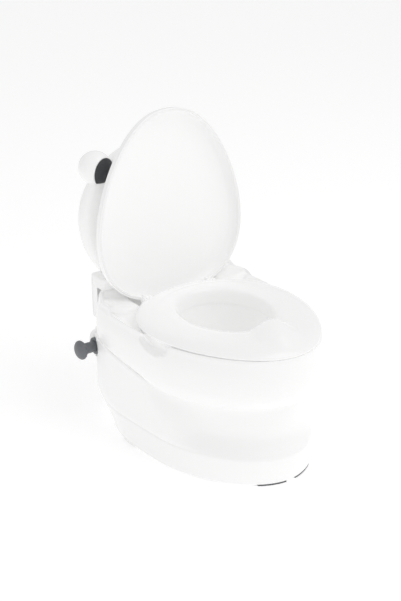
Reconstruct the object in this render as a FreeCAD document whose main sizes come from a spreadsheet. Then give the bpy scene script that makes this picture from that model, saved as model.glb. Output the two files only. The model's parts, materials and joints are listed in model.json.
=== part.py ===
"""Potty training chair: pedestal base, bowl shell, lift-off seat, pot, lid, backrest and flush knob.

Frame: millimetres, +Z up, the front of the chair faces -Y and the flush knob is on the -X side.
The origin is on the floor, at the middle of the pedestal's egg-shaped footprint.
"""
import FreeCAD, Part

import math
import os

import Sketcher

Vector = FreeCAD.Vector
X_AXIS = Vector(1, 0, 0)
Y_AXIS = Vector(0, 1, 0)
Z_AXIS = Vector(0, 0, 1)
ORIGIN = Vector(0, 0, 0)

# Driving dimensions in millimetres and degrees, one spreadsheet row each.
DIMENSIONS = {
    # walls and fits
    "wall": 2.5,
    "running_gap": 0.06,
    "nest_gap": 1.0,
    # anti-slip ring and pedestal
    "ring_thick": 2.0,
    "ring_inset": 9.0,
    "ring_band": 10.0,
    "pad_reach": 0.8,
    "base_half_width": 121.5,
    "base_front": 144.0,
    "base_rear": 193.0,
    "base_rear_floor": 172.0,
    "base_taper": 0.16,
    "base_rear_taper": 0.14,
    "base_square": 5.5,
    "base_square_floor": 3.2,
    "base_rim": 14.0,
    "plinth_top": 41.0,
    "waist_inset": 16.5,
    "waist_bottom": 72.0,
    "parting_front": 119.0,
    "parting_rise": 23.0,
    "parting_run": 150.0,
    "well_clearance": 6.0,
    "crease_top": 21.0,
    "crease_bottom": -19.0,
    "crease_drop": 41.0,
    # bowl shell
    "bowl_half_width": 128.7,
    "bowl_front": 155.0,
    "bowl_rear": 175.5,
    "bowl_rear_taper": 0.03,
    "bowl_square": 8.0,
    "rim_height": 194.5,
    "rim_inset": 5.2,
    "deck_height": 182.0,
    "deck_thick": 3.0,
    "ledge_front": 150.0,
    "ledge_height": 211.0,
    "trough_y": 138.0,
    "trough_z": 202.0,
    "trough_radius": 26.0,
    "trough_half_width": 96.0,
    "notch_x": 129.0,
    "notch_y": 3.0,
    "notch_z": 197.0,
    "notch_depth": 13.0,
    "notch_length": 70.0,
    "notch_drop": 22.0,
    # pot and its opening in the deck
    "pot_mid": 7.0,
    "pot_half_length": 80.0,
    "pot_half_width": 67.0,
    "pot_taper": 0.08,
    "pot_bottom": 96.0,
    "pot_flange": 8.0,
    "pot_flange_thick": 2.4,
    "pot_top_gap": 0.8,
    "pot_wall": 2.2,
    "pot_foot": 16.0,
    "pot_draft": 0.1,
    # seat ring
    "seat_half_width": 123.5,
    "seat_half_length": 141.5,
    "seat_mid": -10.5,
    "seat_taper": 0.19,
    "seat_skirt": 183.5,
    "seat_seam": 195.0,
    "hole_half_width": 63.5,
    "hole_half_length": 76.0,
    "hole_mid": 7.0,
    "hole_taper": 0.05,
    "guard_y": -94.0,
    "guard_z": 198.0,
    "guard_half_width": 36.0,
    "guard_half_length": 31.0,
    "guard_rise": 27.0,
    "bumper_radius": 6.0,
    "bumper_x": 78.0,
    "bumper_front_y": -60.0,
    "bumper_rear_y": 55.0,
    # lid
    "lid_length": 287.0,
    "lid_half_width": 122.5,
    "lid_taper": 0.27,
    "lid_rear_taper": 0.20,
    "lid_square": 2.3,
    "lid_depth": 26.0,
    "lid_wall": 2.0,
    "lid_skin_gap": 0.1,
    "lid_plane": 205.0,
    "lid_rear": 133.5,
    "lid_open": 92.0,
    "hinge_y": 121.6,
    "hinge_z": 195.4,
    "hinge_x": 58.0,
    "hinge_arm": 5.0,
    "hinge_radius": 5.5,
    "pin_radius": 2.5,
    "pin_head_radius": 4.2,
    # backrest
    "head_z": 309.0,
    "head_y": 187.0,
    "head_half_width": 128.0,
    "head_half_height": 122.0,
    "head_thick": 24.0,
    "head_edge": 10.5,
    "head_lean": 2.0,
    "block_half_width": 110.0,
    "block_rear": 194.0,
    "block_bottom": 156.0,
    "block_top": 228.0,
    "block_gap": 1.0,
    "flange_front": 155.0,
    "ear_x": 94.0,
    "ear_y": 194.0,
    "ear_z": 385.0,
    "ear_radius": 25.0,
    "ear_pad_half_width": 20.0,
    "ear_pad_half_height": 23.0,
    "ear_pad_thick": 1.6,
    "ear_peg_radius": 5.0,
    "ear_pad_in": 3.0,
    "ear_pad_down": 2.5,
    "ear_pad_proud": 0.5,
    # flush knob
    "knob_y": 168.5,
    "knob_z": 120.5,
    "boss_face_x": -119.0,
    "boss_radius": 24.0,
    "collar_radius": 13.2,
    "collar_thick": 5.0,
    "sleeve_radius": 10.5,
    "sleeve_length": 7.0,
    "neck_radius": 8.3,
    "ball_radius": 14.7,
    "ball_half_thick": 8.0,
    "ball_out": 28.0,
    "plunger_length": 13.0,
    "stem_radius": 3.5,
    "stem_length": 10.8,
    "clip_thick": 1.5,
    "clip_radius": 10.5,
    "spring_radius": 5.6,
    "spring_wire": 0.6,
    "spring_turns": 5.0,
    # sound module
    "case_x": -94.0,
    "case_length": 62.0,
    "case_y": 128.0,
    "case_depth": 54.0,
    "case_z": 84.0,
    "case_height": 48.0,
    "case_wall": 2.0,
    "board_z": 108.0,
    "board_thick": 1.6,
    "cell_radius": 5.2,
    "cell_length": 44.5,
    "cell_z": 93.0,
    "door_length": 28.0,
    "speaker_radius": 13.0,
    "speaker_height": 8.0,
    # fasteners
    "screw_radius": 1.5,
    "screw_head_radius": 3.2,
    "screw_head": 2.2,
    "screw_boss_radius": 4.5,
    "block_screw_x": 70.0,
    "block_screw_z": 192.0,
    "case_screw_y": 155.0,
}

OUTLINE_POINTS = 32

doc = FreeCAD.newDocument("potty_training_chair")
sheet = doc.addObject("Spreadsheet::Sheet", "Dimensions")
for row, (alias, value) in enumerate(DIMENSIONS.items(), start=1):
    sheet.set(f"A{row}", alias)
    sheet.set(f"B{row}", str(value))
    sheet.setAlias(f"B{row}", alias)
doc.recompute()

nodes = []


# ---- document helpers: a formula is text in which $name is a cell of the sheet ----


def words(formula):
    return formula.replace("$", "Dimensions.")


def value(formula):
    return float(sheet.evalExpression(words(formula)))


def bind(target, **formulas):
    for name, formula in formulas.items():
        target.setExpression(name.replace("_of_", "."), words(formula))
    return target


def placed(target, at, axis=Z_AXIS):
    """Turns the object's own Z axis onto axis and binds its origin to three formulas."""
    target.Placement = FreeCAD.Placement(ORIGIN, FreeCAD.Rotation(Z_AXIS, axis))
    for letter, formula in zip("xyz", at):
        target.setExpression(f"Placement.Base.{letter}", words(formula))
    return target


def primitive(kind, name, at, axis=Z_AXIS, **formulas):
    return placed(bind(doc.addObject(kind, name), **formulas), at, axis)


def cylinder(name, radius, length, at, axis=Z_AXIS):
    return primitive("Part::Cylinder", name, at, axis, Radius=radius, Height=length)


def box(name, length, width, height, at):
    return primitive("Part::Box", name, at, Length=length, Width=width, Height=height)


def cut(name, base, tool):
    made = doc.addObject("Part::Cut", name)
    made.Base = base
    made.Tool = tool
    return made


def fused(name, *members):
    made = doc.addObject("Part::MultiFuse", name)
    made.Shapes = list(members)
    return made


def group(name, shapes):
    """Several separate solids of one kind of fastener or pad, kept as one piece."""
    return feature(name, Part.makeCompound(shapes))


def feature(name, shape):
    made = doc.addObject("Part::Feature", name)
    made.Shape = shape
    return made


def node(label, made):
    """Marks an object as one finished piece of the chair."""
    made.Label = label
    nodes.append(made)
    return made


def plane_of(body, role):
    return next(item for item in body.Origin.OriginFeatures if item.Role == role)


def bound_outline(body, label, role, corners):
    """A closed polygon sketch whose corners are held by formulas, on one of the body's origin planes."""
    sketch = body.newObject("Sketcher::SketchObject", f"{label}_outline")
    sketch.AttachmentSupport = [(plane_of(body, role), "")]
    sketch.MapMode = "FlatFace"
    places = [Vector(value(across), value(along), 0) for across, along in corners]
    for index, place in enumerate(places):
        sketch.addGeometry(Part.LineSegment(place, places[(index + 1) % len(places)]), False)
    for index in range(len(places)):
        following = (index + 1) % len(places)
        sketch.addConstraint(Sketcher.Constraint("Coincident", index, 2, following, 1))
    for index, (across, along) in enumerate(corners):
        held = sketch.addConstraint(
            Sketcher.Constraint("DistanceX", -1, 1, index, 1, places[index].x)
        )
        sketch.setExpression(f"Constraints[{held}]", words(across))
        held = sketch.addConstraint(
            Sketcher.Constraint("DistanceY", -1, 1, index, 1, places[index].y)
        )
        sketch.setExpression(f"Constraints[{held}]", words(along))
    return sketch


def turned_body(label, corners, at, axis=Z_AXIS):
    """A body turned about its own Z axis from (radius, height) corners."""
    body = doc.addObject("PartDesign::Body", label)
    sketch = bound_outline(body, label, "XZ_Plane", corners)
    turned = body.newObject("PartDesign::Revolution", f"{label}_turned")
    turned.Profile = sketch
    turned.ReferenceAxis = (sketch, ["V_Axis"])
    turned.Angle = 360
    return placed(body, at, axis)


def padded_body(label, corners, height, at, axis=Z_AXIS):
    """A body padded along its own Z axis from (x, y) corners."""
    body = doc.addObject("PartDesign::Body", label)
    pad = body.newObject("PartDesign::Pad", f"{label}_pad")
    pad.Profile = bound_outline(body, label, "XY_Plane", corners)
    bind(pad, Length=height)
    return placed(body, at, axis)


def rectangle(length, width):
    return [("0", "0"), (length, "0"), (length, width), ("0", width)]


# ---- shape helpers for the moulded shells ----


def size(alias):
    """One cell of the sheet as a number."""
    return float(sheet.get(alias))


def smooth(share):
    share = min(max(share, 0.0), 1.0)
    return share * share * (3 - 2 * share)


def outline_points(height, half_width, front, rear, taper, rear_taper=None, square=2.0, middle=0.0):
    """Egg-shaped ring of points: round at the front, and as square as asked for at the rear.

    front and rear are the reach from the middle, and the tapers widen the ring towards the rear.
    """
    points = []
    for step in range(OUTLINE_POINTS):
        angle = 2 * math.pi * step / OUTLINE_POINTS
        along = -math.cos(angle)
        across = math.sin(angle)
        reach, widening = front, taper
        if along > 0:
            along = along ** (2 / square)
            across = math.copysign(max(0.0, 1 - along**square) ** (1 / square), across)
            reach = rear
            widening = taper if rear_taper is None else rear_taper
        points.append(
            Vector(half_width * across * (1 + widening * along), middle + reach * along, height)
        )
    return points


def spaced_parameters(points):
    """Curve parameters in step with the distance from point to point, once round."""
    parameters = [0.0]
    for index, point in enumerate(points):
        following = points[(index + 1) % len(points)]
        parameters.append(parameters[-1] + point.distanceToPoint(following))
    return parameters


def closed_wire(points, parameters):
    curve = Part.BSplineCurve()
    curve.interpolate(Points=points, PeriodicFlag=True, Parameters=parameters)
    return Part.Wire([curve.toShape()])


def loft(rings):
    """A solid through rings of points, lowest first, that share one spacing."""
    parameters = spaced_parameters(rings[0])
    return Part.makeLoft([closed_wire(ring, parameters) for ring in rings], True, False)


def prism(ring, height):
    wire = closed_wire(ring, spaced_parameters(ring))
    return Part.Face(wire).extrude(Vector(0, 0, height))


def block(low, high):
    """A box between two corners."""
    return Part.makeBox(high[0] - low[0], high[1] - low[1], high[2] - low[2], Vector(*low))


def ellipsoid(centre, radii):
    ball = Part.makeSphere(1.0)
    stretch = FreeCAD.Matrix()
    stretch.scale(*radii)
    ball = ball.transformGeometry(stretch)
    ball.translate(Vector(*centre))
    return ball


def drilled(shape, radius, start, end):
    """Cuts a round hole between two points."""
    way = end - start
    return shape.cut(Part.makeCylinder(radius, way.Length, start, way))


SPAN = 400.0


def stepped(low, high, count):
    """Evenly spaced heights, so that a loft through them doesn't swing between its rings."""
    return [low + (high - low) * step / (count - 1) for step in range(count)]


def side_prism(corners):
    """Extrudes a polygon of (y, z) corners across the whole width."""
    ring = [Vector(-SPAN / 2, along, height) for along, height in corners]
    face = Part.Face(Part.makePolygon(ring + ring[:1]))
    return face.extrude(Vector(SPAN, 0, 0))


# ---- pedestal ----


def parting_height(along):
    """Height of the seam between pedestal and bowl shell, which rises towards the rear."""
    return size("parting_front") + size("parting_rise") * (
        max(0.0, along) / size("parting_run")
    ) ** 1.4


def below_parting(offset):
    seam = [(along, parting_height(along) + offset) for along in range(0, 241, 20)]
    return side_prism([(-SPAN / 2, -10), (-SPAN / 2, seam[0][1])] + seam + [(240, -10)])


def drum_ring(height, inset):
    """Outline of the plinth and the rear box. The rear draws in towards the floor."""
    rise = smooth(height / (1.5 * size("plinth_top")))
    rear = size("base_rear_floor") + rise * (size("base_rear") - size("base_rear_floor"))
    square = size("base_square_floor") + rise * (size("base_square") - size("base_square_floor"))
    return outline_points(
        height,
        size("base_half_width") - inset,
        size("base_front") - inset,
        rear - inset,
        size("base_taper"),
        size("base_rear_taper"),
        square,
    )


def waist_inset(height):
    """How far the front pedestal stands back from the plinth."""
    above = height - size("plinth_top")
    return 0.6 + size("waist_inset") * math.sqrt(
        smooth(above / (size("waist_bottom") - size("plinth_top")))
    )


def pedestal_solid(inset, bottom):
    """Plinth, waisted front and flush rear box as one solid, drawn in by inset."""
    plinth_top = size("plinth_top") - inset
    drum = loft([drum_ring(height, inset) for height in stepped(bottom, 158, 14)])
    waist_heights = stepped(plinth_top - 1, 134, 12)
    waist = loft([drum_ring(height, waist_inset(height) + inset) for height in waist_heights])
    crease = [
        (size("crease_bottom") - size("crease_drop") / 2 + inset, plinth_top),
        (size("crease_bottom") + inset, 78),
        (size("crease_top") + inset, 119),
        (size("crease_top") + 30 + inset, 180),
    ]
    recess = side_prism([(-SPAN / 2, plinth_top)] + crease + [(-SPAN / 2, 180)])
    return drum.cut(recess).fuse(waist)


def well_ring(height, clearance):
    """Egg-shaped outline round the pot."""
    return outline_points(
        height,
        size("pot_half_width") + clearance,
        size("pot_half_length") + clearance,
        size("pot_half_length") + clearance,
        size("pot_taper"),
        middle=size("pot_mid"),
    )


def screw_places():
    """The four shell screws, where seam and flange are wide enough."""
    return [(side * across, along) for side in (-1, 1) for across, along in ((73, -60), (98, 62))]


def make_base_shell():
    wall = size("wall")
    bottom = size("ring_thick")
    outer = pedestal_solid(0.0, bottom)
    knob = Vector(0, size("knob_y"), size("knob_z"))
    boss_face = size("boss_face_x")
    boss = Part.makeCylinder(size("boss_radius"), 30, knob + Vector(boss_face, 0, 0), X_AXIS)
    boss = boss.makeFillet(3, [edge for edge in boss.Edges if edge.Closed and edge.Length > 1])
    shell = outer.fuse(boss).common(below_parting(0.0))
    hollow = pedestal_solid(wall, bottom - 1).common(below_parting(-wall))
    floor = block((-SPAN, -SPAN, -10), (SPAN, SPAN, bottom + wall))
    shell = shell.cut(hollow.cut(floor))
    shell = shell.cut(prism(drum_ring(bottom - 1, size("base_rim")), 2 * wall + 1))
    shell = shell.cut(prism(well_ring(60, size("well_clearance")), 130))
    shell = drilled(
        shell,
        size("collar_radius") + 3,
        knob + Vector(boss_face - 40, 0, 0),
        knob + Vector(boss_face, 0, 0),
    )
    shell = drilled(
        shell, size("sleeve_radius"), knob + Vector(boss_face - 1, 0, 0), knob + Vector(-90, 0, 0)
    )
    case_top = size("case_z") + size("case_height")
    for across in (-82, -44):
        foot = Vector(across, size("case_screw_y"), case_top)
        post = Part.makeCylinder(size("screw_boss_radius"), 30, foot)
        shell = shell.fuse(post.common(below_parting(-0.5 * wall)))
        shell = drilled(shell, size("screw_radius"), foot - Vector(0, 0, 1), foot + Vector(0, 0, 6))
    for across, along in screw_places():
        seam = parting_height(along)
        start = Vector(across, along, seam - 2 * wall)
        shell = drilled(shell, size("screw_radius"), start, start + Vector(0, 0, 4 * wall))
    return node("base_shell", feature("base_shell", shell))


# Reach of the six pads: from and to across the chair, and from and to along it.
PAD_PLACES = ((8, 46, -200, -100), (105, 150, 59, 89), (36, 74, 120, 200))


def make_anti_slip_ring():
    """Soft ring under the rim, with six pads that reach out to the plinth's edge."""
    inset, band, thick = size("ring_inset"), size("ring_band"), size("ring_thick")
    bottom = size("ring_thick")

    def floor_ring(edge):
        points = drum_ring(bottom, edge)
        return [Vector(point.x, point.y, 0) for point in points]

    pads = []
    for near, far, front, rear in PAD_PLACES:
        for low, high in ((near, far), (-far, -near)):
            pads.append(block((low, front, 0), (high, rear, thick)))
    reach = prism(floor_ring(size("pad_reach")), thick).cut(prism(floor_ring(inset + 1), thick))
    ring = prism(floor_ring(inset), thick).cut(prism(floor_ring(inset + band), thick))
    ring = ring.fuse([pad.common(reach) for pad in pads]).removeSplitter()
    return node("anti_slip_ring", feature("anti_slip_ring", ring))


# ---- bowl shell ----

# Height, side inset and front inset of the bowl shell's rings, measured from the widest ring.
BOWL_RINGS = (
    (105, 9.5, 15.0),
    (119, 7.7, 13.0),
    (135, 2.7, 5.0),
    (150, 0.7, 1.2),
    (167, 0.0, 0.0),
    (180, 1.2, 1.0),
    (190, 3.4, 2.3),
    (198, 6.0, 4.5),
    (214, 9.5, 9.0),
)


def bowl_solid(inset):
    rings = []
    for height, side_inset, front_inset in BOWL_RINGS:
        rings.append(
            outline_points(
                height,
                size("bowl_half_width") - side_inset - inset,
                size("bowl_front") - front_inset - inset,
                size("bowl_rear") - inset,
                size("base_taper"),
                size("bowl_rear_taper"),
                size("bowl_square"),
            )
        )
    return loft(rings)


def seat_ring_points(height, inset):
    return outline_points(
        height,
        size("seat_half_width") - inset,
        size("seat_half_length") - inset,
        size("seat_half_length") - inset,
        size("seat_taper"),
        middle=size("seat_mid"),
    )


def trough(radius, half_width):
    centre = Vector(-half_width, size("trough_y"), size("trough_z"))
    return Part.makeCylinder(radius, 2 * half_width, centre, X_AXIS)


def notches(grow):
    radii = (
        size("notch_depth") + grow,
        size("notch_length") / 2 + grow,
        size("notch_drop") + grow,
    )
    return [
        ellipsoid((side * size("notch_x"), size("notch_y"), size("notch_z")), radii) for side in (-1, 1)
    ]


def hinge_eye(middle_x, width, reach):
    """An eye round the hinge axis, with a foot that goes reach below it."""
    axis = Vector(middle_x - width / 2, size("hinge_y"), size("hinge_z"))
    radius = size("hinge_radius")
    eye = Part.makeCylinder(radius, width, axis, X_AXIS)
    foot = block(
        (axis.x, axis.y - radius, axis.z - reach), (axis.x + width, axis.y + radius, axis.z)
    )
    return eye.fuse(foot)


def block_screw_place(side, along):
    """Where a screw that holds the backrest's block passes a given distance to the rear."""
    return Vector(side * size("block_screw_x"), along, size("block_screw_z"))


def make_bowl_shell():
    wall = size("wall")
    deck = size("deck_height")
    rim = size("rim_height")
    ledge_front = size("ledge_front")
    shell = bowl_solid(0.0).cut(below_parting(0.0))
    shell = shell.cut(block((-SPAN, -SPAN, rim), (SPAN, ledge_front, SPAN)))
    shell = shell.cut(block((-SPAN, -SPAN, size("ledge_height")), (SPAN, SPAN, SPAN)))
    hollow = bowl_solid(wall).cut(below_parting(wall))
    under_deck = deck - size("deck_thick")
    hollow = hollow.cut(block((-SPAN, -SPAN, under_deck), (SPAN, ledge_front + wall, SPAN)))
    under_ledge = size("ledge_height") - wall
    hollow = hollow.cut(block((-SPAN, -SPAN, under_ledge), (SPAN, SPAN, SPAN)))
    hollow = hollow.cut(trough(size("trough_radius") + wall, size("trough_half_width") + 13))
    for notch in notches(wall):
        hollow = hollow.cut(notch)
    shell = shell.cut(hollow)
    shell = shell.cut(prism(seat_ring_points(deck, size("rim_inset")), 60))
    shell = shell.cut(trough(size("trough_radius"), size("trough_half_width")))
    shell = shell.cut(prism(well_ring(deck - 10, 0.0), 30))
    shell = shell.cut(prism(well_ring(100, size("well_clearance")), 60))
    for notch in notches(0.0):
        shell = shell.cut(notch)
    foot = size("hinge_z") - size("deck_height") + 8
    gap = size("hinge_arm") / 2 + 0.4
    for side in (-1, 1):
        for offset in (-gap - 2, gap + 2):
            shell = shell.fuse(hinge_eye(side * size("hinge_x") + offset, 4.0, foot))
        shell = drilled(
            shell,
            size("pin_radius"),
            Vector(side * size("hinge_x") - 9, size("hinge_y"), size("hinge_z")),
            Vector(side * size("hinge_x") + 9, size("hinge_y"), size("hinge_z")),
        )
    for across, along in screw_places():
        seam = parting_height(along)
        foot = Vector(across, along, seam + 0.5 * wall)
        boss = Part.makeCylinder(size("screw_boss_radius"), 12, foot)
        shell = shell.fuse(boss)
        shell = drilled(
            shell, size("screw_radius"), Vector(across, along, seam - 5), Vector(across, along, seam + 9)
        )
    for side in (-1, 1):
        screw = block_screw_place(side, size("bowl_rear"))
        shell = drilled(shell, size("screw_radius"), screw - Vector(0, 10, 0), screw + Vector(0, 10, 0))
    return node("bowl_shell", feature("bowl_shell", shell))


def make_shell_screws():
    """Screws that come up through the pedestal's top flange into the bowl shell's bosses."""
    screws = []
    for across, along in screw_places():
        seat = Vector(across, along, parting_height(along) - size("wall") - 0.6)
        shank = Part.makeCylinder(size("screw_radius"), 11, seat)
        under = seat - Vector(0, 0, size("screw_head"))
        head = Part.makeCylinder(size("screw_head_radius"), size("screw_head"), under)
        screws.append(shank.fuse(head))
    return node("shell_screws", group("shell_screws", screws))


# ---- pot and seat ----


def pot_solid(bottom, top, wall):
    """The pot's body: drafted sides with a rounded foot."""
    rings = []
    for height in stepped(bottom, top, 12):
        above = height - bottom
        foot = size("pot_foot") * (1 - min(1.0, above / size("pot_foot"))) ** 2
        rings.append(well_ring(height, -1.5 - wall - size("pot_draft") * (top - height) - foot))
    return loft(rings)


def make_pot():
    wall = size("pot_wall")
    top = size("deck_height") + size("pot_flange_thick")
    bottom = size("pot_bottom")
    flange = prism(
        well_ring(size("deck_height"), size("pot_flange")), size("pot_flange_thick")
    )
    pot = pot_solid(bottom, top, 0.0).fuse(flange).cut(pot_solid(bottom + wall, top + 1, wall))
    return node("pot", feature("pot", pot))


# Height and inset of the seat ring's rings above its seam.
SEAT_RINGS = (
    (195.0, 0.2),
    (197.5, 1.0),
    (200.0, 3.0),
    (202.5, 6.5),
    (205.0, 12.0),
    (207.0, 19.0),
    (208.5, 28.0),
)


def seat_crown(drop, inset):
    return loft([seat_ring_points(height - drop, gap + inset) for height, gap in SEAT_RINGS])


def hole_ring(height, clearance):
    return outline_points(
        height,
        size("hole_half_width") + clearance,
        size("hole_half_length") + clearance,
        size("hole_half_length") + clearance,
        size("hole_taper"),
        middle=size("hole_mid"),
    )


def splash_guard(inset):
    centre = (0, size("guard_y"), size("guard_z"))
    radii = [
        size(alias) - inset for alias in ("guard_half_width", "guard_half_length", "guard_rise")
    ]
    return ellipsoid(centre, radii).cut(block((-SPAN, -SPAN, 0), (SPAN, SPAN, size("seat_skirt") + 3)))


def make_seat_ring():
    wall = size("wall")
    skirt = size("seat_skirt")
    seam = size("seat_seam")
    skirt_inset = size("rim_inset") + size("nest_gap")
    throat = [(skirt, -1.5), (seam, -0.5), (202.0, 1.0), (206.5, 5.0), (209.5, 11.0)]
    funnel = loft([hole_ring(height, gap) for height, gap in throat])
    lining = [hole_ring(height - 1, gap + wall) for height, gap in throat]
    lined = loft(lining + [hole_ring(225, 24)])
    outer = seat_crown(0.0, 0.0).fuse(prism(seat_ring_points(skirt, skirt_inset), seam - skirt + 1))
    within_skirt = prism(seat_ring_points(skirt - 1, skirt_inset + wall), 60)
    skirt_room = prism(seat_ring_points(skirt - 1, skirt_inset + wall), seam - skirt + 1)
    inner = seat_crown(wall, wall).common(within_skirt).fuse(skirt_room)
    ring = outer.cut(inner.cut(lined)).cut(funnel)
    pot_top = size("deck_height") + size("pot_flange_thick") + size("pot_top_gap")
    ring = ring.cut(prism(well_ring(skirt - 1, size("pot_flange") + 1), pot_top - skirt + 1))
    guard = splash_guard(0.0).cut(splash_guard(wall))
    ring = ring.cut(splash_guard(wall)).fuse(guard)
    for side in (-1, 1):
        for along in (size("bumper_front_y"), size("bumper_rear_y")):
            foot = Vector(side * size("bumper_x"), along, size("deck_height") + 3)
            boss = Part.makeCylinder(size("bumper_radius") + 1, 40, foot)
            ring = ring.fuse(boss.common(outer))
        pocket = block(
            (min(side * 48, side * 68), size("hinge_y") - 8, 150),
            (max(side * 48, side * 68), size("hinge_y") + 20, SPAN),
        )
        ring = ring.cut(pocket)
    return node("seat_ring", feature("seat_ring", ring))


def make_seat_bumpers():
    pads = []
    for side in (-1, 1):
        for along in (size("bumper_front_y"), size("bumper_rear_y")):
            place = Vector(side * size("bumper_x"), along, size("deck_height"))
            pads.append(Part.makeCylinder(size("bumper_radius"), 3, place))
    return node("seat_bumpers", group("seat_bumpers", pads))


# ---- lid ----

# Share of the full depth, and inset from the rim, of the rings of the lid's dome.
LID_RINGS = (
    (0.0, 0.0),
    (0.40, 0.8),
    (0.57, 5.0),
    (0.75, 14.0),
    (0.90, 32.0),
    (0.98, 58.0),
    (1.0, 85.0),
)


def lid_dome(offset):
    """The lid as it lies closed, its rim plane at height 0 and its hinge end at y = 0."""
    rings = []
    for share, inset in LID_RINGS:
        height = share * size("lid_depth") - offset
        rings.append(lid_ring(height if share > 0 else -min(offset, 1.0), inset + offset))
    return loft(rings)


def lid_ring(height, inset):
    reach = size("lid_length") / 2 - inset
    return outline_points(
        height,
        size("lid_half_width") - inset,
        reach,
        reach,
        size("lid_taper"),
        size("lid_rear_taper"),
        size("lid_square"),
        middle=-size("lid_length") / 2,
    )


def opened(shape):
    """Moves a shape from the closed lid's frame to where the open lid stands."""
    shape = shape.copy()
    shape.translate(Vector(0, size("lid_rear"), size("lid_plane")))
    axis_point = Vector(0, size("hinge_y"), size("hinge_z"))
    return shape.rotate(axis_point, X_AXIS, -size("lid_open"))


def make_lid_shell():
    dome = opened(lid_dome(0.0).cut(lid_dome(size("lid_wall"))))
    arm = size("hinge_arm")
    inside = opened(lid_dome(size("lid_wall")))
    for side in (-1, 1):
        middle = side * size("hinge_x")
        hinge = Vector(middle - arm / 2, size("hinge_y"), size("hinge_z"))
        radius = size("hinge_radius")
        eye = Part.makeCylinder(radius, arm, hinge, X_AXIS)
        web = block(
            (hinge.x, hinge.y, hinge.z - radius - 3), (hinge.x + arm, hinge.y + 12, hinge.z + radius)
        )
        dome = dome.fuse(eye.fuse(web).cut(inside))
        dome = drilled(
            dome,
            size("pin_radius") + size("running_gap"),
            hinge - Vector(1, 0, 0),
            hinge + Vector(arm + 1, 0, 0),
        )
    return node("lid_shell", feature("lid_shell", dome))


def make_lid_liner():
    skin = size("lid_wall") + size("lid_skin_gap")
    liner = lid_dome(skin).cut(lid_dome(skin + 1.6))
    liner = liner.cut(block((-SPAN, -SPAN, -20), (SPAN, SPAN, 0.6)))
    return node("lid_liner", feature("lid_liner", opened(liner)))


def make_hinge_pins():
    pins = []
    for side in (-1, 1):
        inner = Vector(side * (size("hinge_x") - 8), size("hinge_y"), size("hinge_z"))
        outward = Vector(side, 0, 0)
        shank = Part.makeCylinder(size("pin_radius"), 16, inner, outward)
        head = Part.makeCylinder(size("pin_head_radius"), 1.5, inner + outward * 15.2, outward)
        pins.append(shank.fuse(head))
    return node("hinge_pins", group("hinge_pins", pins))


# ---- backrest ----


def head_slab(inset):
    """Rounded slab of the head, lying flat: its face is the XY plane and its rear is at -Z."""
    face = Part.Face(
        Part.Wire(
            [
                Part.Ellipse(
                    ORIGIN, size("head_half_width") - inset, size("head_half_height") - inset
                ).toShape()
            ]
        )
    )
    thick = size("head_thick") - 2 * inset
    slab = face.extrude(Vector(0, 0, thick))
    slab.translate(Vector(0, 0, -thick / 2))
    return slab.makeFillet(size("head_edge") - inset, [edge for edge in slab.Edges if edge.Closed])


def stood_up(shape):
    """Stands the slab up behind the lid, leaning back."""
    shape = shape.copy()
    shape.rotate(ORIGIN, X_AXIS, 90 - size("head_lean"))
    shape.translate(Vector(0, size("head_y"), size("head_z")))
    return shape


HEAD_SCREWS = [(side * across, up) for side in (-1, 1) for across, up in ((62, -48), (56, 66))]


def head_shells():
    """Front and rear halves of the hollow head, with bosses for the screws between them."""
    wall = size("wall")
    half_thick = size("head_thick") / 2
    slab = head_slab(0.0)
    shell = slab.cut(head_slab(wall))
    for across, up in HEAD_SCREWS:
        boss = Part.makeCylinder(
            size("screw_boss_radius"), 2 * half_thick, Vector(across, up, -half_thick)
        )
        shell = shell.fuse(boss.common(slab))
    front = shell.common(block((-SPAN, -SPAN, 0), (SPAN, SPAN, SPAN)))
    rear = shell.common(block((-SPAN, -SPAN, -SPAN), (SPAN, SPAN, 0)))
    for across, up in HEAD_SCREWS:
        place = Vector(across, up, 0)
        front = drilled(front, size("screw_radius"), place, place + Vector(0, 0, 9))
        rear = drilled(rear, size("screw_radius"), place, place - Vector(0, 0, half_thick + 1))
        rear = drilled(
            rear, size("screw_head_radius"), place - Vector(0, 0, 9), place - Vector(0, 0, half_thick + 1)
        )
    above = block((-SPAN, -SPAN, size("block_top")), (SPAN, SPAN, 2 * SPAN))
    return [stood_up(half).common(above) for half in (front, rear)]


def ear_place(side):
    return Vector(side * size("ear_x"), size("ear_y"), size("ear_z"))


def ear_peg(side, radius):
    """The peg that holds an ear, from the ball's outer wall towards the middle of the head."""
    centre = ear_place(side)
    way = Vector(0, size("head_y"), size("head_z")) - centre
    way.normalize()
    back = size("ear_radius") - size("wall")
    return Part.makeCylinder(radius, back + 34, centre - way * back, way)


def hooked_block(inset):
    """The block at the foot of the backrest, whose flange reaches over the bowl's rear ledge."""
    half = size("block_half_width") - inset
    wall_front = size("bowl_rear") + size("block_gap") + inset
    rear = size("block_rear") - inset
    top = size("block_top") - inset
    post = block((-half, wall_front, size("block_bottom")), (half, rear, top))
    flange = block(
        (-half, size("flange_front") + inset, size("ledge_height") + inset), (half, rear, top)
    )
    return post.fuse(flange).removeSplitter()


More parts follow.
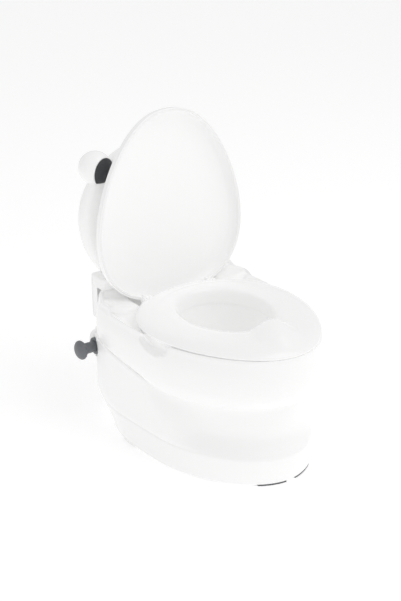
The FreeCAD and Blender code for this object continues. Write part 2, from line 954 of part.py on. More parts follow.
def make_backrest():
    front, rear = head_shells()
    wall = size("wall")
    foot = hooked_block(0.0)
    wall_front = size("bowl_rear") + size("block_gap")
    outer_edges = [
        edge
        for edge in foot.Edges
        if edge.BoundBox.ZMin > size("block_bottom") + 1 and edge.BoundBox.YMin > wall_front + 1
        or edge.BoundBox.YMax < size("flange_front") + 0.1
    ]
    foot = foot.makeFillet(4.0, outer_edges)
    hollow = hooked_block(wall)
    hollow.translate(Vector(0, 0, -0.01))
    half = size("block_half_width") - wall
    open_bottom = block(
        (-half, wall_front + wall, size("block_bottom") - 1),
        (half, size("block_rear") - wall, size("block_bottom") + 1),
    )
    foot = foot.cut(hollow.fuse(open_bottom)).cut(opened(lid_dome(-2.0)))
    for side in (-1, 1):
        place = block_screw_place(side, wall_front)
        foot = foot.fuse(Part.makeCylinder(size("screw_boss_radius"), 12, place, Y_AXIS))
        foot = drilled(foot, size("screw_radius"), place - Vector(0, 1, 0), place + Vector(0, 10, 0))
    for side in (-1, 1):
        peg = ear_peg(side, size("ear_peg_radius"))
        front = front.cut(peg)
        rear = rear.cut(peg)
    node("backrest_front", feature("backrest_front", front))
    node("backrest_back", feature("backrest_back", rear.fuse(foot)))


def make_backrest_screws():
    screws = []
    for across, up in HEAD_SCREWS:
        place = Vector(across, up, 0)
        shank = Part.makeCylinder(size("screw_radius"), 17, place - Vector(0, 0, 9))
        head = Part.makeCylinder(
            size("screw_head_radius"), size("screw_head"), place - Vector(0, 0, 9 + size("screw_head"))
        )
        screws.append(stood_up(shank.fuse(head)))
    for side in (-1, 1):
        place = block_screw_place(side, size("bowl_rear") - size("wall") - 0.4)
        shank = Part.makeCylinder(size("screw_radius"), 11, place, Y_AXIS)
        head = Part.makeCylinder(
            size("screw_head_radius"), size("screw_head"), place - Vector(0, size("screw_head"), 0), Y_AXIS
        )
        screws.append(shank.fuse(head))
    return node("backrest_screws", group("backrest_screws", screws))


def make_ears():
    """Hollow balls on the head's shoulders, each with a dark pad let into its front."""
    slab = stood_up(head_slab(0.0))
    radius = size("ear_radius")
    for side, label in ((-1, "left"), (1, "right")):
        centre = ear_place(side)
        pad_centre = centre - Vector(size("ear_pad_in") * side, 0, size("ear_pad_down"))
        way_through = Part.Face(
            Part.Wire(
                [
                    Part.Ellipse(
                        ORIGIN, size("ear_pad_half_height"), size("ear_pad_half_width")
                    ).toShape()
                ]
            )
        ).extrude(Vector(0, 0, 2 * radius))
        way_through.rotate(ORIGIN, Z_AXIS, 90)
        way_through.rotate(ORIGIN, X_AXIS, 90)
        way_through.translate(pad_centre)
        thick = size("ear_pad_thick")
        proud = radius + size("ear_pad_proud")
        pad = Part.makeSphere(proud, centre).cut(Part.makeSphere(proud - thick, centre))
        pad = pad.common(way_through).cut(slab)
        hollow = Part.makeSphere(radius - size("wall") - thick, centre)
        ball = Part.makeSphere(radius, centre).cut(hollow)
        ball = ball.cut(slab).fuse(ear_peg(side, size("ear_peg_radius"))).cut(pad)
        node(f"ear_{label}", feature(f"ear_{label}", ball))
        node(f"ear_pad_{label}", feature(f"ear_pad_{label}", pad))


# ---- flush knob: turned parts along X ----


def make_knob():
    knob_centre = ("$knob_y", "$knob_z")
    collar = [
        ("$neck_radius + $running_gap", "-$collar_thick"),
        ("$collar_radius", "-$collar_thick"),
        ("$collar_radius", "0"),
        ("$sleeve_radius", "0"),
        ("$sleeve_radius", "$sleeve_length"),
        ("$neck_radius + $running_gap", "$sleeve_length"),
    ]
    node("knob_collar", turned_body("knob_collar", collar, ("$boss_face_x",) + knob_centre, X_AXIS))
    neck_start = "$boss_face_x - $ball_out"
    neck = cylinder(
        "knob_neck", "$neck_radius", "$ball_out + $plunger_length", (neck_start,) + knob_centre, X_AXIS
    )
    stem = cylinder(
        "knob_stem",
        "$stem_radius",
        "$stem_length + 1",
        ("$boss_face_x + $plunger_length - 1",) + knob_centre,
        X_AXIS,
    )
    ball = primitive(
        "Part::Ellipsoid",
        "knob_ball",
        (neck_start,) + knob_centre,
        X_AXIS,
        Radius1="$ball_half_thick",
        Radius2="$ball_radius",
        Radius3="$ball_radius",
    )
    groove = cylinder(
        "knob_groove_outer",
        "$neck_radius + 1",
        "$clip_thick",
        ("$boss_face_x + $sleeve_length + 0.2",) + knob_centre,
        X_AXIS,
    )
    groove_core = cylinder(
        "knob_groove_core",
        "$neck_radius - 1.5",
        "$clip_thick",
        ("$boss_face_x + $sleeve_length + 0.2",) + knob_centre,
        X_AXIS,
    )
    knob = fused("knob_solid", neck, stem, ball)
    node("flush_knob", cut("flush_knob", knob, cut("knob_groove", groove, groove_core)))
    clip = [
        ("$neck_radius - 1.5", "0"),
        ("$clip_radius", "0"),
        ("$clip_radius", "$clip_thick"),
        ("$neck_radius - 1.5", "$clip_thick"),
    ]
    clip_start = "$boss_face_x + $sleeve_length + 0.2"
    node("knob_clip", turned_body("knob_clip", clip, (clip_start,) + knob_centre, X_AXIS))


def make_knob_spring():
    """Compression spring between the plunger's shoulder and the module's case."""
    start = size("boss_face_x") + size("plunger_length") + size("spring_wire")
    length = size("case_x") - size("spring_wire") - start
    radius = size("spring_radius")
    helix = Part.makeHelix(length / size("spring_turns"), length, radius)
    section = Part.Wire(
        [Part.Circle(Vector(radius, 0, 0), Y_AXIS, size("spring_wire")).toShape()]
    )
    coil = Part.Wire(helix).makePipeShell([section], True, True)
    coil.rotate(ORIGIN, Y_AXIS, 90)
    coil.translate(Vector(start, size("knob_y"), size("knob_z")))
    return node("knob_spring", feature("knob_spring", coil))


# ---- sound module ----


def make_sound_module():
    wall = "$case_wall"
    outside = box(
        "case_outside",
        "$case_length",
        "$case_depth",
        "$case_height - 2",
        ("$case_x", "$case_y", "$case_z + 2"),
    )
    inside = box(
        "case_inside",
        f"$case_length - 2 * {wall}",
        f"$case_depth - 2 * {wall}",
        f"$case_height - 2 - {wall}",
        (f"$case_x + {wall}", f"$case_y + {wall}", "$case_z + 2"),
    )
    stem_hole = cylinder(
        "case_stem_hole",
        "$stem_radius + 0.7",
        "3 * $case_wall",
        ("$case_x - 1", "$knob_y", "$knob_z"),
        X_AXIS,
    )
    node("module_case", cut("module_case", cut("case_box", outside, inside), stem_hole))

    cover = box("cover_plate", "$case_length", "$case_depth", "2", ("$case_x", "$case_y", "$case_z"))
    door_x = "$case_x + $case_length - $door_length - 4"
    doorway = box(
        "cover_doorway", "$door_length", "$case_depth - 8", "2", (door_x, "$case_y + 4", "$case_z")
    )
    slots = [
        box(
            f"cover_slot_{index}",
            "2",
            "16",
            "2",
            (f"$case_x + 8 + {4 * index}", "$case_y + 19", "$case_z"),
        )
        for index in range(5)
    ]
    node("module_cover", cut("module_cover", cover, fused("cover_openings", doorway, *slots)))

    door = padded_body(
        "battery_door_plate",
        rectangle("$door_length - 0.6", "$case_depth - 8.6"),
        "2",
        (f"{door_x} + 0.3", "$case_y + 4.3", "$case_z"),
    )
    screw_place = (f"{door_x} + $door_length / 2", "$case_y + 9", "$case_z")
    screw_hole = cylinder("battery_door_hole", "$screw_radius", "3", screw_place)
    node("battery_door", cut("battery_door", door, screw_hole))
    screw = [
        ("0", "-1.5"),
        ("$screw_head_radius", "-1.5"),
        ("$screw_head_radius", "0"),
        ("$screw_radius", "0"),
        ("$screw_radius", "1.9"),
        ("0", "1.9"),
    ]
    node("battery_door_screw", turned_body("battery_door_screw", screw, screw_place))

    board = padded_body(
        "circuit_board",
        rectangle("$case_length - 2 * $case_wall - 1", "$case_depth - 2 * $case_wall - 1"),
        "$board_thick",
        ("$case_x + $case_wall + 0.5", "$case_y + $case_wall + 0.5", "$board_z"),
    )
    node("circuit_board", board)
    board_top = "$board_z + $board_thick"
    chip = padded_body(
        "sound_chip", rectangle("12", "10"), "2.2", ("$case_x + 34", "$case_y + 20", board_top)
    )
    node("sound_chip", chip)
    switch_body = box("switch_body", "8", "8", "15", ("$case_x + 6", "$knob_y - 4", board_top))
    switch_tip = cylinder("switch_tip", "1.8", "3.5", ("$case_x + 3.3", "$knob_y", "$knob_z"), X_AXIS)
    node("push_switch", fused("push_switch", switch_body, switch_tip))
    cone = [
        ("0", "0"),
        ("$speaker_radius", "0"),
        ("$speaker_radius", "2"),
        ("$speaker_radius * 0.7", "5"),
        ("$speaker_radius * 0.55", "5"),
        ("$speaker_radius * 0.55", "$speaker_height"),
        ("0", "$speaker_height"),
    ]
    node(
        "speaker",
        turned_body("speaker", cone, ("$case_x + 17", "$case_y + 27", "$case_z + 2")),
    )


def cell_rows():
    right = size("case_x") + size("case_length") - size("case_wall")
    return [right - 7.0, right - 19.0]


def make_batteries():
    cells, contacts = [], []
    radius, length = size("cell_radius"), size("cell_length")
    start_y = size("case_y") + (size("case_depth") - length) / 2
    for across in cell_rows():
        place = Vector(across, start_y, size("cell_z"))
        body = Part.makeCylinder(radius, length - 1, place, Y_AXIS)
        nub = Part.makeCylinder(1.9, 1, place + Vector(0, length - 1, 0), Y_AXIS)
        cells.append(body.fuse(nub))
        for along in (start_y - 0.8, start_y + length):
            low = (across - 4, along, size("cell_z") - 4)
            contacts.append(block(low, (across + 4, along + 0.8, size("cell_z") + 8)))
    node("batteries", group("batteries", cells))
    node("battery_contacts", group("battery_contacts", contacts))


make_base_shell()
make_anti_slip_ring()
make_bowl_shell()
make_shell_screws()
make_pot()
make_seat_ring()
make_seat_bumpers()
make_lid_shell()
make_lid_liner()
make_hinge_pins()
make_backrest()
make_backrest_screws()
make_ears()
make_knob()
make_knob_spring()
make_sound_module()
make_batteries()
doc.recompute()

for item in doc.Objects:
    if "Invalid" in item.State or "Error" in item.State:
        raise RuntimeError(f"{item.Name} failed to recompute: {item.State}")
for piece in nodes:
    if piece.Shape.isNull() or not piece.Shape.isValid():
        raise RuntimeError(f"{piece.Label} has no valid shape")

os.makedirs("parts", exist_ok=True)
for piece in nodes:
    piece.Shape.exportStep(os.path.join("parts", f"{piece.Label}.step"))
    print(piece.Label, len(piece.Shape.Solids), "solids", round(piece.Shape.Volume / 1000, 1), "cm3")
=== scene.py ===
# Looks of the potty training chair: smooth moulded shells, materials, light and camera.
# Lengths are millimetres in the shared frame (+Z up, front -Y) until a mesh is made in metres.
import json
import math

import bmesh
import bpy
import numpy as np
from mathutils import Matrix, Vector


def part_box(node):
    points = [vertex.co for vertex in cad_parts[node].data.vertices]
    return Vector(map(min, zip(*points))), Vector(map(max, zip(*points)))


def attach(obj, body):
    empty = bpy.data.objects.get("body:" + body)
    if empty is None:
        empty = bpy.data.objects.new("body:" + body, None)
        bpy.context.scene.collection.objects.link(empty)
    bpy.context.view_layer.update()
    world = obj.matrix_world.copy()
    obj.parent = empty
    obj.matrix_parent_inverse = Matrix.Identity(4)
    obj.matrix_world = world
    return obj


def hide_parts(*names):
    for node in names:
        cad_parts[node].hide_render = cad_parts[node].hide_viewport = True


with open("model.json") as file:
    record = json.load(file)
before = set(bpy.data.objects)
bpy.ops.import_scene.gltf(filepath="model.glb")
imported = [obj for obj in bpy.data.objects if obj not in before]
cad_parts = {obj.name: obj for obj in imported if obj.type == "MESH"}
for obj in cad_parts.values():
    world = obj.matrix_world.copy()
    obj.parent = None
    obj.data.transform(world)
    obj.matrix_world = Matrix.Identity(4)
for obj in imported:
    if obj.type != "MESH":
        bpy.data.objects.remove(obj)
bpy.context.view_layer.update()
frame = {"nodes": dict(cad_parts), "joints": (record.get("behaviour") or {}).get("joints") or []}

MM = 0.001
AROUND = 240
WALL = 2.5
SHARP_ANGLE = math.radians(40)
SIDES = ((-1, "left"), (1, "right"))


def box_mm(node):
    low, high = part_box(node)
    return np.array(low) / MM, np.array(high) / MM


joints = {joint["name"]: joint for joint in frame["joints"]}
_, HINGE_Y, HINGE_Z = (part / MM for part in joints["lid_hinge"]["pos_m"])

BASE_LOW, BASE_HIGH = box_mm("base_shell")
BOWL_LOW, BOWL_HIGH = box_mm("bowl_shell")
SEAT_LOW, SEAT_HIGH = box_mm("seat_ring")
POT_LOW, POT_HIGH = box_mm("pot")
KNOB_LOW, KNOB_HIGH = box_mm("flush_knob")
COLLAR_LOW = box_mm("knob_collar")[0]
LID_LOW, LID_HIGH = box_mm("lid_shell")
HEAD_HIGH = box_mm("backrest_front")[1]
BLOCK_LOW = box_mm("backrest_back")[0]

# Heights, depths and gaps that the boxes don't give.
BASE_FOOT, BASE_RIM, BASE_RIM_TOP = 2.0, 14.0, 4.5
PLINTH_TOP = 41.0
WAIST_BOTTOM, WAIST_TOP = 72.0, 76.0
WAIST_INSET = 16.5
CREASE_WIDTH = 90.0
PARTING = 119.0
SEAM_FRONT = BOWL_LOW[2]
SEAM_GAP = 0.05
WELL_CLEARANCE = 6.0
BOSS_RADIUS, BOSS_LENGTH, RECESS_RADIUS = 24.0, 29.0, 16.2
RIM = 194.5
DECK = POT_HIGH[2] - 2.4
DECK_THICK = 3.0
BOWL_ROOM_TOP, BOWL_ROOM_INSET = 172.0, 9.5
LEDGE_FRONT = 150.0
SHELF_FRONT, SHELF_RISE = 111.0, 8.0
BEAD_HEIGHT, BEAD_PROUD, BEAD_REACH = 191.2, 0.55, 3.4
TROUGH_Y, TROUGH_Z, TROUGH_RADIUS, TROUGH_HALF_WIDTH = 138.0, 202.0, 26.0, 80.0
NOTCH_Y, NOTCH_Z, NOTCH_X = 3.0, 197.0, 129.0
NOTCH_RADII = (13.0, 35.0, 22.0)
NOTCH_FLOOR, NOTCH_DIP = 119.4, 6.0
OPENING_INSET = 5.2
LOWER_EDGE = 0.7
POT_FLANGE, POT_EDGE = 8.0, 0.2
POT_WALL, POT_INSET, POT_FOOT, POT_DRAFT = 2.2, 1.5, 16.0, 0.1
POT_FLANGE_ROUND = 1.2
CREST = 208.5
GUARD_Y, GUARD_HEIGHT = -91.0, SEAT_HIGH[2] - CREST
HINGE_X, HINGE_RADIUS, HINGE_ARM = 58.0, 5.5, 5.0
LUG_OFFSET, LUG_THICK, LUG_DROP = 4.9, 4.0, 16.0
LID_LENGTH = 285.5
LID_DEPTH = 26.0
LID_REAR, LID_PLANE = 133.5, 205.0
LID_OPEN = math.radians(92.0)
HEAD_HALF_WIDTH = HEAD_HIGH[0]
HEAD_THICK = 24.0
HEAD_EDGE = 10.5
HEAD_LEAN = math.radians(2.0)
HEAD_Y = 187.0
HEAD_HALF_HEIGHT = 121.9
CROWN_HALF_HEIGHT = 109.0
BLOCK_TOP, BLOCK_REAR = 228.0, 194.0
EAR_RADIUS = 25.0
EAR_PAD_IN, EAR_PAD_DOWN = 5.0, 3.5
EAR_PAD_HALF = (19.0, 21.0)
EAR_RECESS = 1.1
COLLAR_FLANGE = 5.0


# ---- numbers ----


def smooth(share):
    share = np.clip(share, 0.0, 1.0)
    return share * share * (3 - 2 * share)


def lower_of(first, second, blend):
    """The smaller of two heights, with a fillet of about blend where they cross."""
    share = np.clip(0.5 + 0.5 * (second - first) / blend, 0.0, 1.0)
    return second * (1 - share) + first * share - blend * share * (1 - share)


def through(places, knots):
    """Height of a smooth curve through (place, value) knots, with no overshoot between them."""
    xs, ys = (np.array(column, float) for column in zip(*knots))
    slopes = np.diff(ys) / np.diff(xs)
    tangents = np.concatenate([slopes[:1], (slopes[:-1] + slopes[1:]) / 2, slopes[-1:]])
    flat = np.concatenate([[False], slopes[:-1] * slopes[1:] <= 0, [False]])
    tangents[flat] = 0.0
    places = np.clip(places, xs[0], xs[-1])
    index = np.clip(np.searchsorted(xs, places, side="right") - 1, 0, len(slopes) - 1)
    width = xs[index + 1] - xs[index]
    share = (places - xs[index]) / width
    rise = share * share * (3 - 2 * share)
    start = share * (1 - share) ** 2 * width * tangents[index]
    end = share * share * (share - 1) * width * tangents[index + 1]
    return ys[index] + (ys[index + 1] - ys[index]) * rise + start + end


def rounded_path(corners, steps=5):
    """Points along a polyline of (x, y, radius) corners, each turned by an arc of that radius."""
    path = []
    for index, (x, y, radius) in enumerate(corners):
        here = np.array([x, y], float)
        if radius == 0 or index in (0, len(corners) - 1):
            path.append(here)
            continue
        before = np.array(corners[index - 1][:2], float) - here
        after = np.array(corners[index + 1][:2], float) - here
        before /= np.linalg.norm(before)
        after /= np.linalg.norm(after)
        half_turn = math.acos(np.clip(before @ after, -1, 1)) / 2
        reach = radius / math.tan(half_turn)
        for share in np.linspace(0, 1, steps):
            start = here + before * reach * (1 - share)
            end = here + after * reach * share
            path.append(start * (1 - share) + end * share)
    return path


def evenly(points, count):
    """Points evenly spaced along a closed outline."""
    closed = np.vstack([points, points[:1]])
    lengths = np.concatenate([[0], np.cumsum(np.linalg.norm(np.diff(closed, axis=0), axis=1))])
    marks = np.linspace(0, lengths[-1], count, endpoint=False)
    return np.stack([np.interp(marks, lengths, closed[:, axis]) for axis in (0, 1)], axis=1)


def softened(points, passes):
    """A closed outline with its small kinks eased."""
    for _ in range(passes):
        points = (np.roll(points, 1, axis=0) + 2 * points + np.roll(points, -1, axis=0)) / 4
    return points


class Outline:
    """Egg-shaped outline that fills a box: round at the front, and as square as asked for behind."""

    def __init__(self, low, high, middle=0.0, taper=0.16, rear_taper=None, square=2.0, front_square=2.0):
        angle = np.linspace(0, 2 * np.pi, 4000, endpoint=False)
        behind = np.cos(angle) < 0
        power = np.where(behind, square, front_square)
        reach = np.abs(np.cos(angle)) ** (2 / power)
        along = np.where(behind, reach, -reach)
        across = np.copysign(np.maximum(0.0, 1 - reach**power) ** (1 / power), np.sin(angle))
        rear_taper = taper if rear_taper is None else rear_taper
        width = across * (1 + np.where(behind, rear_taper, taper) * along)
        self.half_width = high[0]
        self.front = middle - low[1]
        self.rear = high[1] - middle
        self.middle = middle
        length = np.where(behind, self.rear, self.front)
        points = np.stack([width / width.max() * high[0], along * length], axis=1)
        self.points = softened(evenly(points, AROUND), 3)
        self.points *= high[0] / self.points[:, 0].max()

    def flat(self, side=0.0, front=None, rear=None):
        """The (x, y) points, drawn in by so much at the sides, the front and the rear."""
        front = side if front is None else front
        rear = side if rear is None else rear
        x, y = self.points.T
        ends = np.where(y < 0, 1 - front / self.front, 1 - rear / self.rear)
        return np.stack([x * (1 - side / self.half_width), self.middle + y * ends], axis=1)

    def ring(self, height, side=0.0, front=None, rear=None):
        flat = self.flat(side, front, rear)
        return np.column_stack([flat, np.broadcast_to(height, len(flat))])


def lifted(flat, height):
    return np.column_stack([flat, np.broadcast_to(height, len(flat))])


# ---- meshes ----


def mesh_object(name, points, faces):
    mesh = bpy.data.meshes.new(name)
    mesh.from_pydata((np.asarray(points, float) * MM).tolist(), [], faces)
    shaper = bmesh.new()
    shaper.from_mesh(mesh)
    bmesh.ops.recalc_face_normals(shaper, faces=shaper.faces)
    shaper.to_mesh(mesh)
    shaper.free()
    made = bpy.data.objects.new(name, mesh)
    bpy.context.scene.collection.objects.link(made)
    shaded(made)
    return made


def shaded(made):
    made.data.shade_smooth()
    made.data.set_sharp_from_angle(angle=SHARP_ANGLE)


def skinned(name, rings, closed):
    """Mesh through rings of equal count: a closed tube of rings, or one capped at both ends."""
    count = len(rings[0])
    points = [point for ring in rings for point in ring]
    faces = []
    spans = len(rings) if closed else len(rings) - 1
    for step in range(spans):
        near = step * count
        far = (step + 1) % len(rings) * count
        for index in range(count):
            following = (index + 1) % count
            faces.append((near + index, near + following, far + following, far + index))
    if not closed:
        for start in (0, (len(rings) - 1) * count):
            middle = np.mean(points[start:start + count], axis=0)
            points.append(middle)
            for index in range(count):
                faces.append((start + index, start + (index + 1) % count, len(points) - 1))
    return mesh_object(name, points, faces)


def turned(name, path, origin, axis, count=96):
    """Solid turned from (reach along the axis, radius) points, capped at both ends."""
    turn = np.linspace(0, 2 * np.pi, count, endpoint=False)
    axis = np.array(axis, float)
    first = np.cross(axis, (0.3, 0.5, 0.8))
    first /= np.linalg.norm(first)
    second = np.cross(axis, first)
    circle = np.outer(np.cos(turn), first) + np.outer(np.sin(turn), second)
    rings = [np.array(origin) + axis * along + circle * radius for along, radius in path]
    return skinned(name, rings, closed=False)


def rounded_box(name, low, high, radius):
    low, high = np.array(low, float), np.array(high, float)
    mesh = bpy.data.meshes.new(name)
    shaper = bmesh.new()
    bmesh.ops.create_cube(shaper, size=1.0)
    size = Vector((high - low) * MM)
    bmesh.ops.scale(shaper, vec=size, verts=shaper.verts)
    bmesh.ops.translate(shaper, vec=Vector((high + low) / 2 * MM), verts=shaper.verts)
    if radius:
        bmesh.ops.bevel(
            shaper, geom=shaper.edges[:], offset=radius * MM, segments=4, profile=0.5, affect="EDGES"
        )
    shaper.to_mesh(mesh)
    shaper.free()
    made = bpy.data.objects.new(name, mesh)
    bpy.context.scene.collection.objects.link(made)
    return made


def combined(target, operation, *tools):
    """Joins, cuts or keeps the overlap of closed meshes, and removes the tools."""
    for tool in tools:
        step = target.modifiers.new("combine", "BOOLEAN")
        step.operation = operation
        step.object = tool
        step.solver = "EXACT"
        state = bpy.context.evaluated_depsgraph_get()
        made = bpy.data.meshes.new_from_object(target.evaluated_get(state))
        target.modifiers.clear()
        target.data = made
        bpy.data.objects.remove(tool)
    shaded(target)
    return target


def finished(made, body, slot, *stood_for):
    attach(made, body)
    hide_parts(*stood_for)
    made.data.materials.clear()
    made.data.materials.append(MATERIALS[slot])
    return made


# ---- materials ----


def plastic(name, light, dark, roughness, grain=0.5, patch=40.0, bump=0.06, metal=0.0, glow=0.0):
    """Moulded surface: slow colour drift, fine grain in relief and roughness. Lengths are millimetres."""
    made = bpy.data.materials.new(f"moulded_{name}")
    made.use_nodes = True
    nodes, links = made.node_tree.nodes, made.node_tree.links
    shader = nodes["Principled BSDF"]
    shader.inputs["Metallic"].default_value = metal
    shader.inputs["IOR"].default_value = 1.5
    shader.inputs["Emission Color"].default_value = (1, 1, 1, 1)
    shader.inputs["Emission Strength"].default_value = glow
    place = nodes.new("ShaderNodeTexCoord").outputs["Object"]

    def noise(scale, detail):
        texture = nodes.new("ShaderNodeTexNoise")
        texture.inputs["Scale"].default_value = scale
        texture.inputs["Detail"].default_value = detail
        links.new(place, texture.inputs["Vector"])
        return texture.outputs["Fac"]

    drift = noise(1 / (patch * MM), 3.0)
    colours = nodes.new("ShaderNodeMix")
    colours.data_type = "RGBA"
    colours.inputs[6].default_value = (*dark, 1)
    colours.inputs[7].default_value = (*light, 1)
    links.new(drift, colours.inputs[0])
    links.new(colours.outputs[2], shader.inputs["Base Color"])

    fine = noise(1 / (grain * MM), 2.0)
    gloss = nodes.new("ShaderNodeMapRange")
    gloss.inputs["To Min"].default_value = roughness - 0.06
    gloss.inputs["To Max"].default_value = roughness + 0.06
    links.new(noise(1 / (grain * 12 * MM), 4.0), gloss.inputs["Value"])
    links.new(gloss.outputs["Result"], shader.inputs["Roughness"])

    relief = nodes.new("ShaderNodeBump")
    relief.inputs["Strength"].default_value = bump
    relief.inputs["Distance"].default_value = 0.1 * MM
    links.new(fine, relief.inputs["Height"])
    links.new(relief.outputs["Normal"], shader.inputs["Normal"])
    return made


MATERIALS = {
    # The white plastic glows a little (glow=0.08): painted light that brightens every white part evenly and
    # lifts the shade in its hollows and seams.
    "white_plastic": plastic(
        "white_plastic", (0.958, 0.958, 0.955), (0.948, 0.948, 0.944), 0.23, glow=0.08
    ),
    "charcoal_plastic": plastic(
        "charcoal_plastic", (0.036, 0.038, 0.041), (0.028, 0.030, 0.033), 0.55, bump=0.2
    ),
    "grey_plastic": plastic("grey_plastic", (0.175, 0.185, 0.195), (0.155, 0.165, 0.175), 0.42),
    "grey_rubber": plastic(
        "grey_rubber", (0.105, 0.11, 0.115), (0.085, 0.09, 0.095), 0.8, bump=0.3
    ),
    "clear_rubber": plastic("clear_rubber", (0.72, 0.73, 0.72), (0.66, 0.67, 0.66), 0.5),
    "steel": plastic("steel", (0.60, 0.60, 0.61), (0.52, 0.52, 0.53), 0.30, metal=1.0),
    "module_plastic": plastic(
        "module_plastic", (0.80, 0.80, 0.79), (0.76, 0.76, 0.75), 0.5, bump=0.15
    ),
    "board_green": plastic("board_green", (0.02, 0.16, 0.06), (0.015, 0.11, 0.045), 0.4, patch=4.0),
    "black_plastic": plastic("black_plastic", (0.02, 0.02, 0.021), (0.014, 0.014, 0.015), 0.45),
    "battery_wrap": plastic("battery_wrap", (0.10, 0.13, 0.17), (0.07, 0.09, 0.12), 0.3, patch=10.0),
}


# ---- pedestal ----


def seam_height(y):
    rise = BASE_HIGH[2] - SEAM_FRONT
    return SEAM_FRONT + rise * (np.maximum(0.0, y) / BASE_HIGH[1]) ** 1.4


def trough(x, y, top):
    """Lowers a surface to the lid's trough behind the seat."""
    below = TROUGH_Z - np.sqrt(np.maximum(0.0, TROUGH_RADIUS**2 - (y - TROUGH_Y) ** 2))
    below = np.where(np.abs(y - TROUGH_Y) < TROUGH_RADIUS, below, top + 20)
    lowered = lower_of(top, below, 9.0)
    inside = smooth((TROUGH_HALF_WIDTH - np.abs(x)) / 18)
    return top + (np.minimum(lowered, top) - top) * inside


POT_OUTLINE = Outline(POT_LOW, POT_HIGH, middle=(POT_LOW[1] + POT_HIGH[1]) / 2, taper=0.08)
SEAT_MIDDLE = (SEAT_LOW[1] + SEAT_HIGH[1]) / 2
SEAT_OUTLINE = Outline(SEAT_LOW, SEAT_HIGH, middle=SEAT_MIDDLE, taper=0.19)
BOWL_OUTLINE = Outline(BOWL_LOW, BOWL_HIGH, taper=0.16, rear_taper=0.03, square=8.0)
BASE_OUTLINE = Outline(BASE_LOW, BASE_HIGH, taper=0.16, rear_taper=0.14, square=5.5)
BASE_FLOOR = Outline(
    BASE_LOW, (BASE_HIGH[0] - 2.0, BASE_HIGH[1] - 21.0, 0), taper=0.16, rear_taper=0.14, square=3.2
)


# Height and inset of the pedestal's rings from the floor to its waist. The insets round the foot
# and sink a shallow groove along the plinth's top edge.
PEDESTAL_RINGS = (
    (2.0, 1.2), (2.6, 0.4), (4.0, 0.0), (8.0, 0.0), (14.0, 0.0), (20.0, 0.0), (26.0, 0.0), (32.0, 0.0),
    (36.0, 0.0), (38.5, 0.1), (39.8, 0.4), (40.6, 0.8), (41.2, 0.9), (42.0, 0.7), (43.0, 0.4), (44.5, 0.2),
    (46.5, 0.0), (49.0, 0.0), (52.0, 0.0), (56.0, 0.0), (60.0, 0.0), (65.0, 0.0), (70.0, 0.0), (76.0, 0.0),
)
PEDESTAL_ROOM_HEIGHTS = (100.0, 80.0, 70.0, 60.0, 52.0, 47.0, 44.0, 41.0, 36.0, 20.0, BASE_RIM_TOP)
# How far forward the waist's crease lies at each height: (height, y).
CREASE = ((0, -66), (41, -56), (78, -36), (119, 2), (160, 25))
# Steps from an outline to the well for the pot.
WELL_SHARES = (0.0, 0.1, 0.3, 0.5, 0.7, 0.9, 1.0)


def waist(height):
    above = height - PLINTH_TOP
    cove = WAIST_INSET * np.sqrt(smooth(above / (WAIST_BOTTOM - PLINTH_TOP)))
    return np.where(above > 0, cove, 0.0)


def base_flat(height, inset):
    """Outline of the pedestal at a height: waisted in front of the crease, flush behind it."""
    floor_share = 1 - smooth(height / (1.5 * PLINTH_TOP))
    full = BASE_OUTLINE.flat(inset) * (1 - floor_share) + BASE_FLOOR.flat(inset) * floor_share
    drawn_in = waist(height) + inset
    narrow = BASE_OUTLINE.flat(drawn_in)
    crease = through(height, CREASE)
    forward = smooth(0.5 + (crease - full[:, 1]) / CREASE_WIDTH)[:, None]
    return full * (1 - forward) + narrow * forward


def base_rings():
    rings = [lifted(base_flat(height, inset), height) for height, inset in PEDESTAL_RINGS]
    for share in np.linspace(0.15, 1.0, 16):
        flat = base_flat(WAIST_TOP + (PARTING - WAIST_TOP) * share, 0.0)
        top = seam_height(flat[:, 1]) - 0.6
        rings.append(lifted(flat, WAIST_TOP + (top - WAIST_TOP) * share))
    flat = base_flat(PARTING, 0.3)
    rings.append(lifted(flat, seam_height(flat[:, 1]) - 0.15))
    well = POT_OUTLINE.flat(POT_FLANGE - WELL_CLEARANCE)
    flange = base_flat(PARTING, 1.0)
    above = [flange * (1 - share) + well * share for share in WELL_SHARES]
    below = above[:0:-1] + [base_flat(PARTING, WALL)]
    for drop, flats in ((SEAM_GAP, above), (WALL, below)):
        for flat in flats:
            rings.append(lifted(flat, seam_height(flat[:, 1]) - drop))
    for height in PEDESTAL_ROOM_HEIGHTS:
        rings.append(lifted(base_flat(height, WALL), height))
    for height in (BASE_RIM_TOP, BASE_FOOT):
        rings.append(lifted(base_flat(height, BASE_RIM), height))
    return rings


def make_base():
    base = skinned("pedestal", base_rings(), closed=True)
    centre = (KNOB_LOW + KNOB_HIGH) / 2
    face = COLLAR_LOW[0] + COLLAR_FLANGE
    boss_corners = [
        (0, 0.01, 0),
        (0, BOSS_RADIUS, 3),
        (BOSS_LENGTH, BOSS_RADIUS, 0),
        (BOSS_LENGTH, 0.01, 0),
    ]
    boss = turned("boss", rounded_path(boss_corners, 7), (face, centre[1], centre[2]), (1, 0, 0))
    reach = 40.0
    recess_corners = [(0, 0.01, 0), (0, RECESS_RADIUS, 0), (reach, RECESS_RADIUS, 0), (reach, 0.01, 0)]
    recess_place = (face - reach, centre[1], centre[2])
    recess = turned("recess", rounded_path(recess_corners), recess_place, (1, 0, 0))
    combined(base, "UNION", boss)
    combined(base, "DIFFERENCE", recess)
    return finished(base, "chair", "white_plastic", "base_shell")


# ---- bowl shell ----

# (height, inset) of the bulging wall at the sides and at the front.
BOWL_SIDE = (
    (119, 7.7), (135, 2.7), (150, 0.7), (167, 0.0), (180, 1.2), (190, 3.4), (198, 6.0), (214, 9.5)
)
BOWL_FRONT = (
    (119, 13.0), (135, 5.0), (150, 1.2), (167, 0.0), (180, 1.0), (190, 2.3), (198, 4.5), (214, 9.0)
)
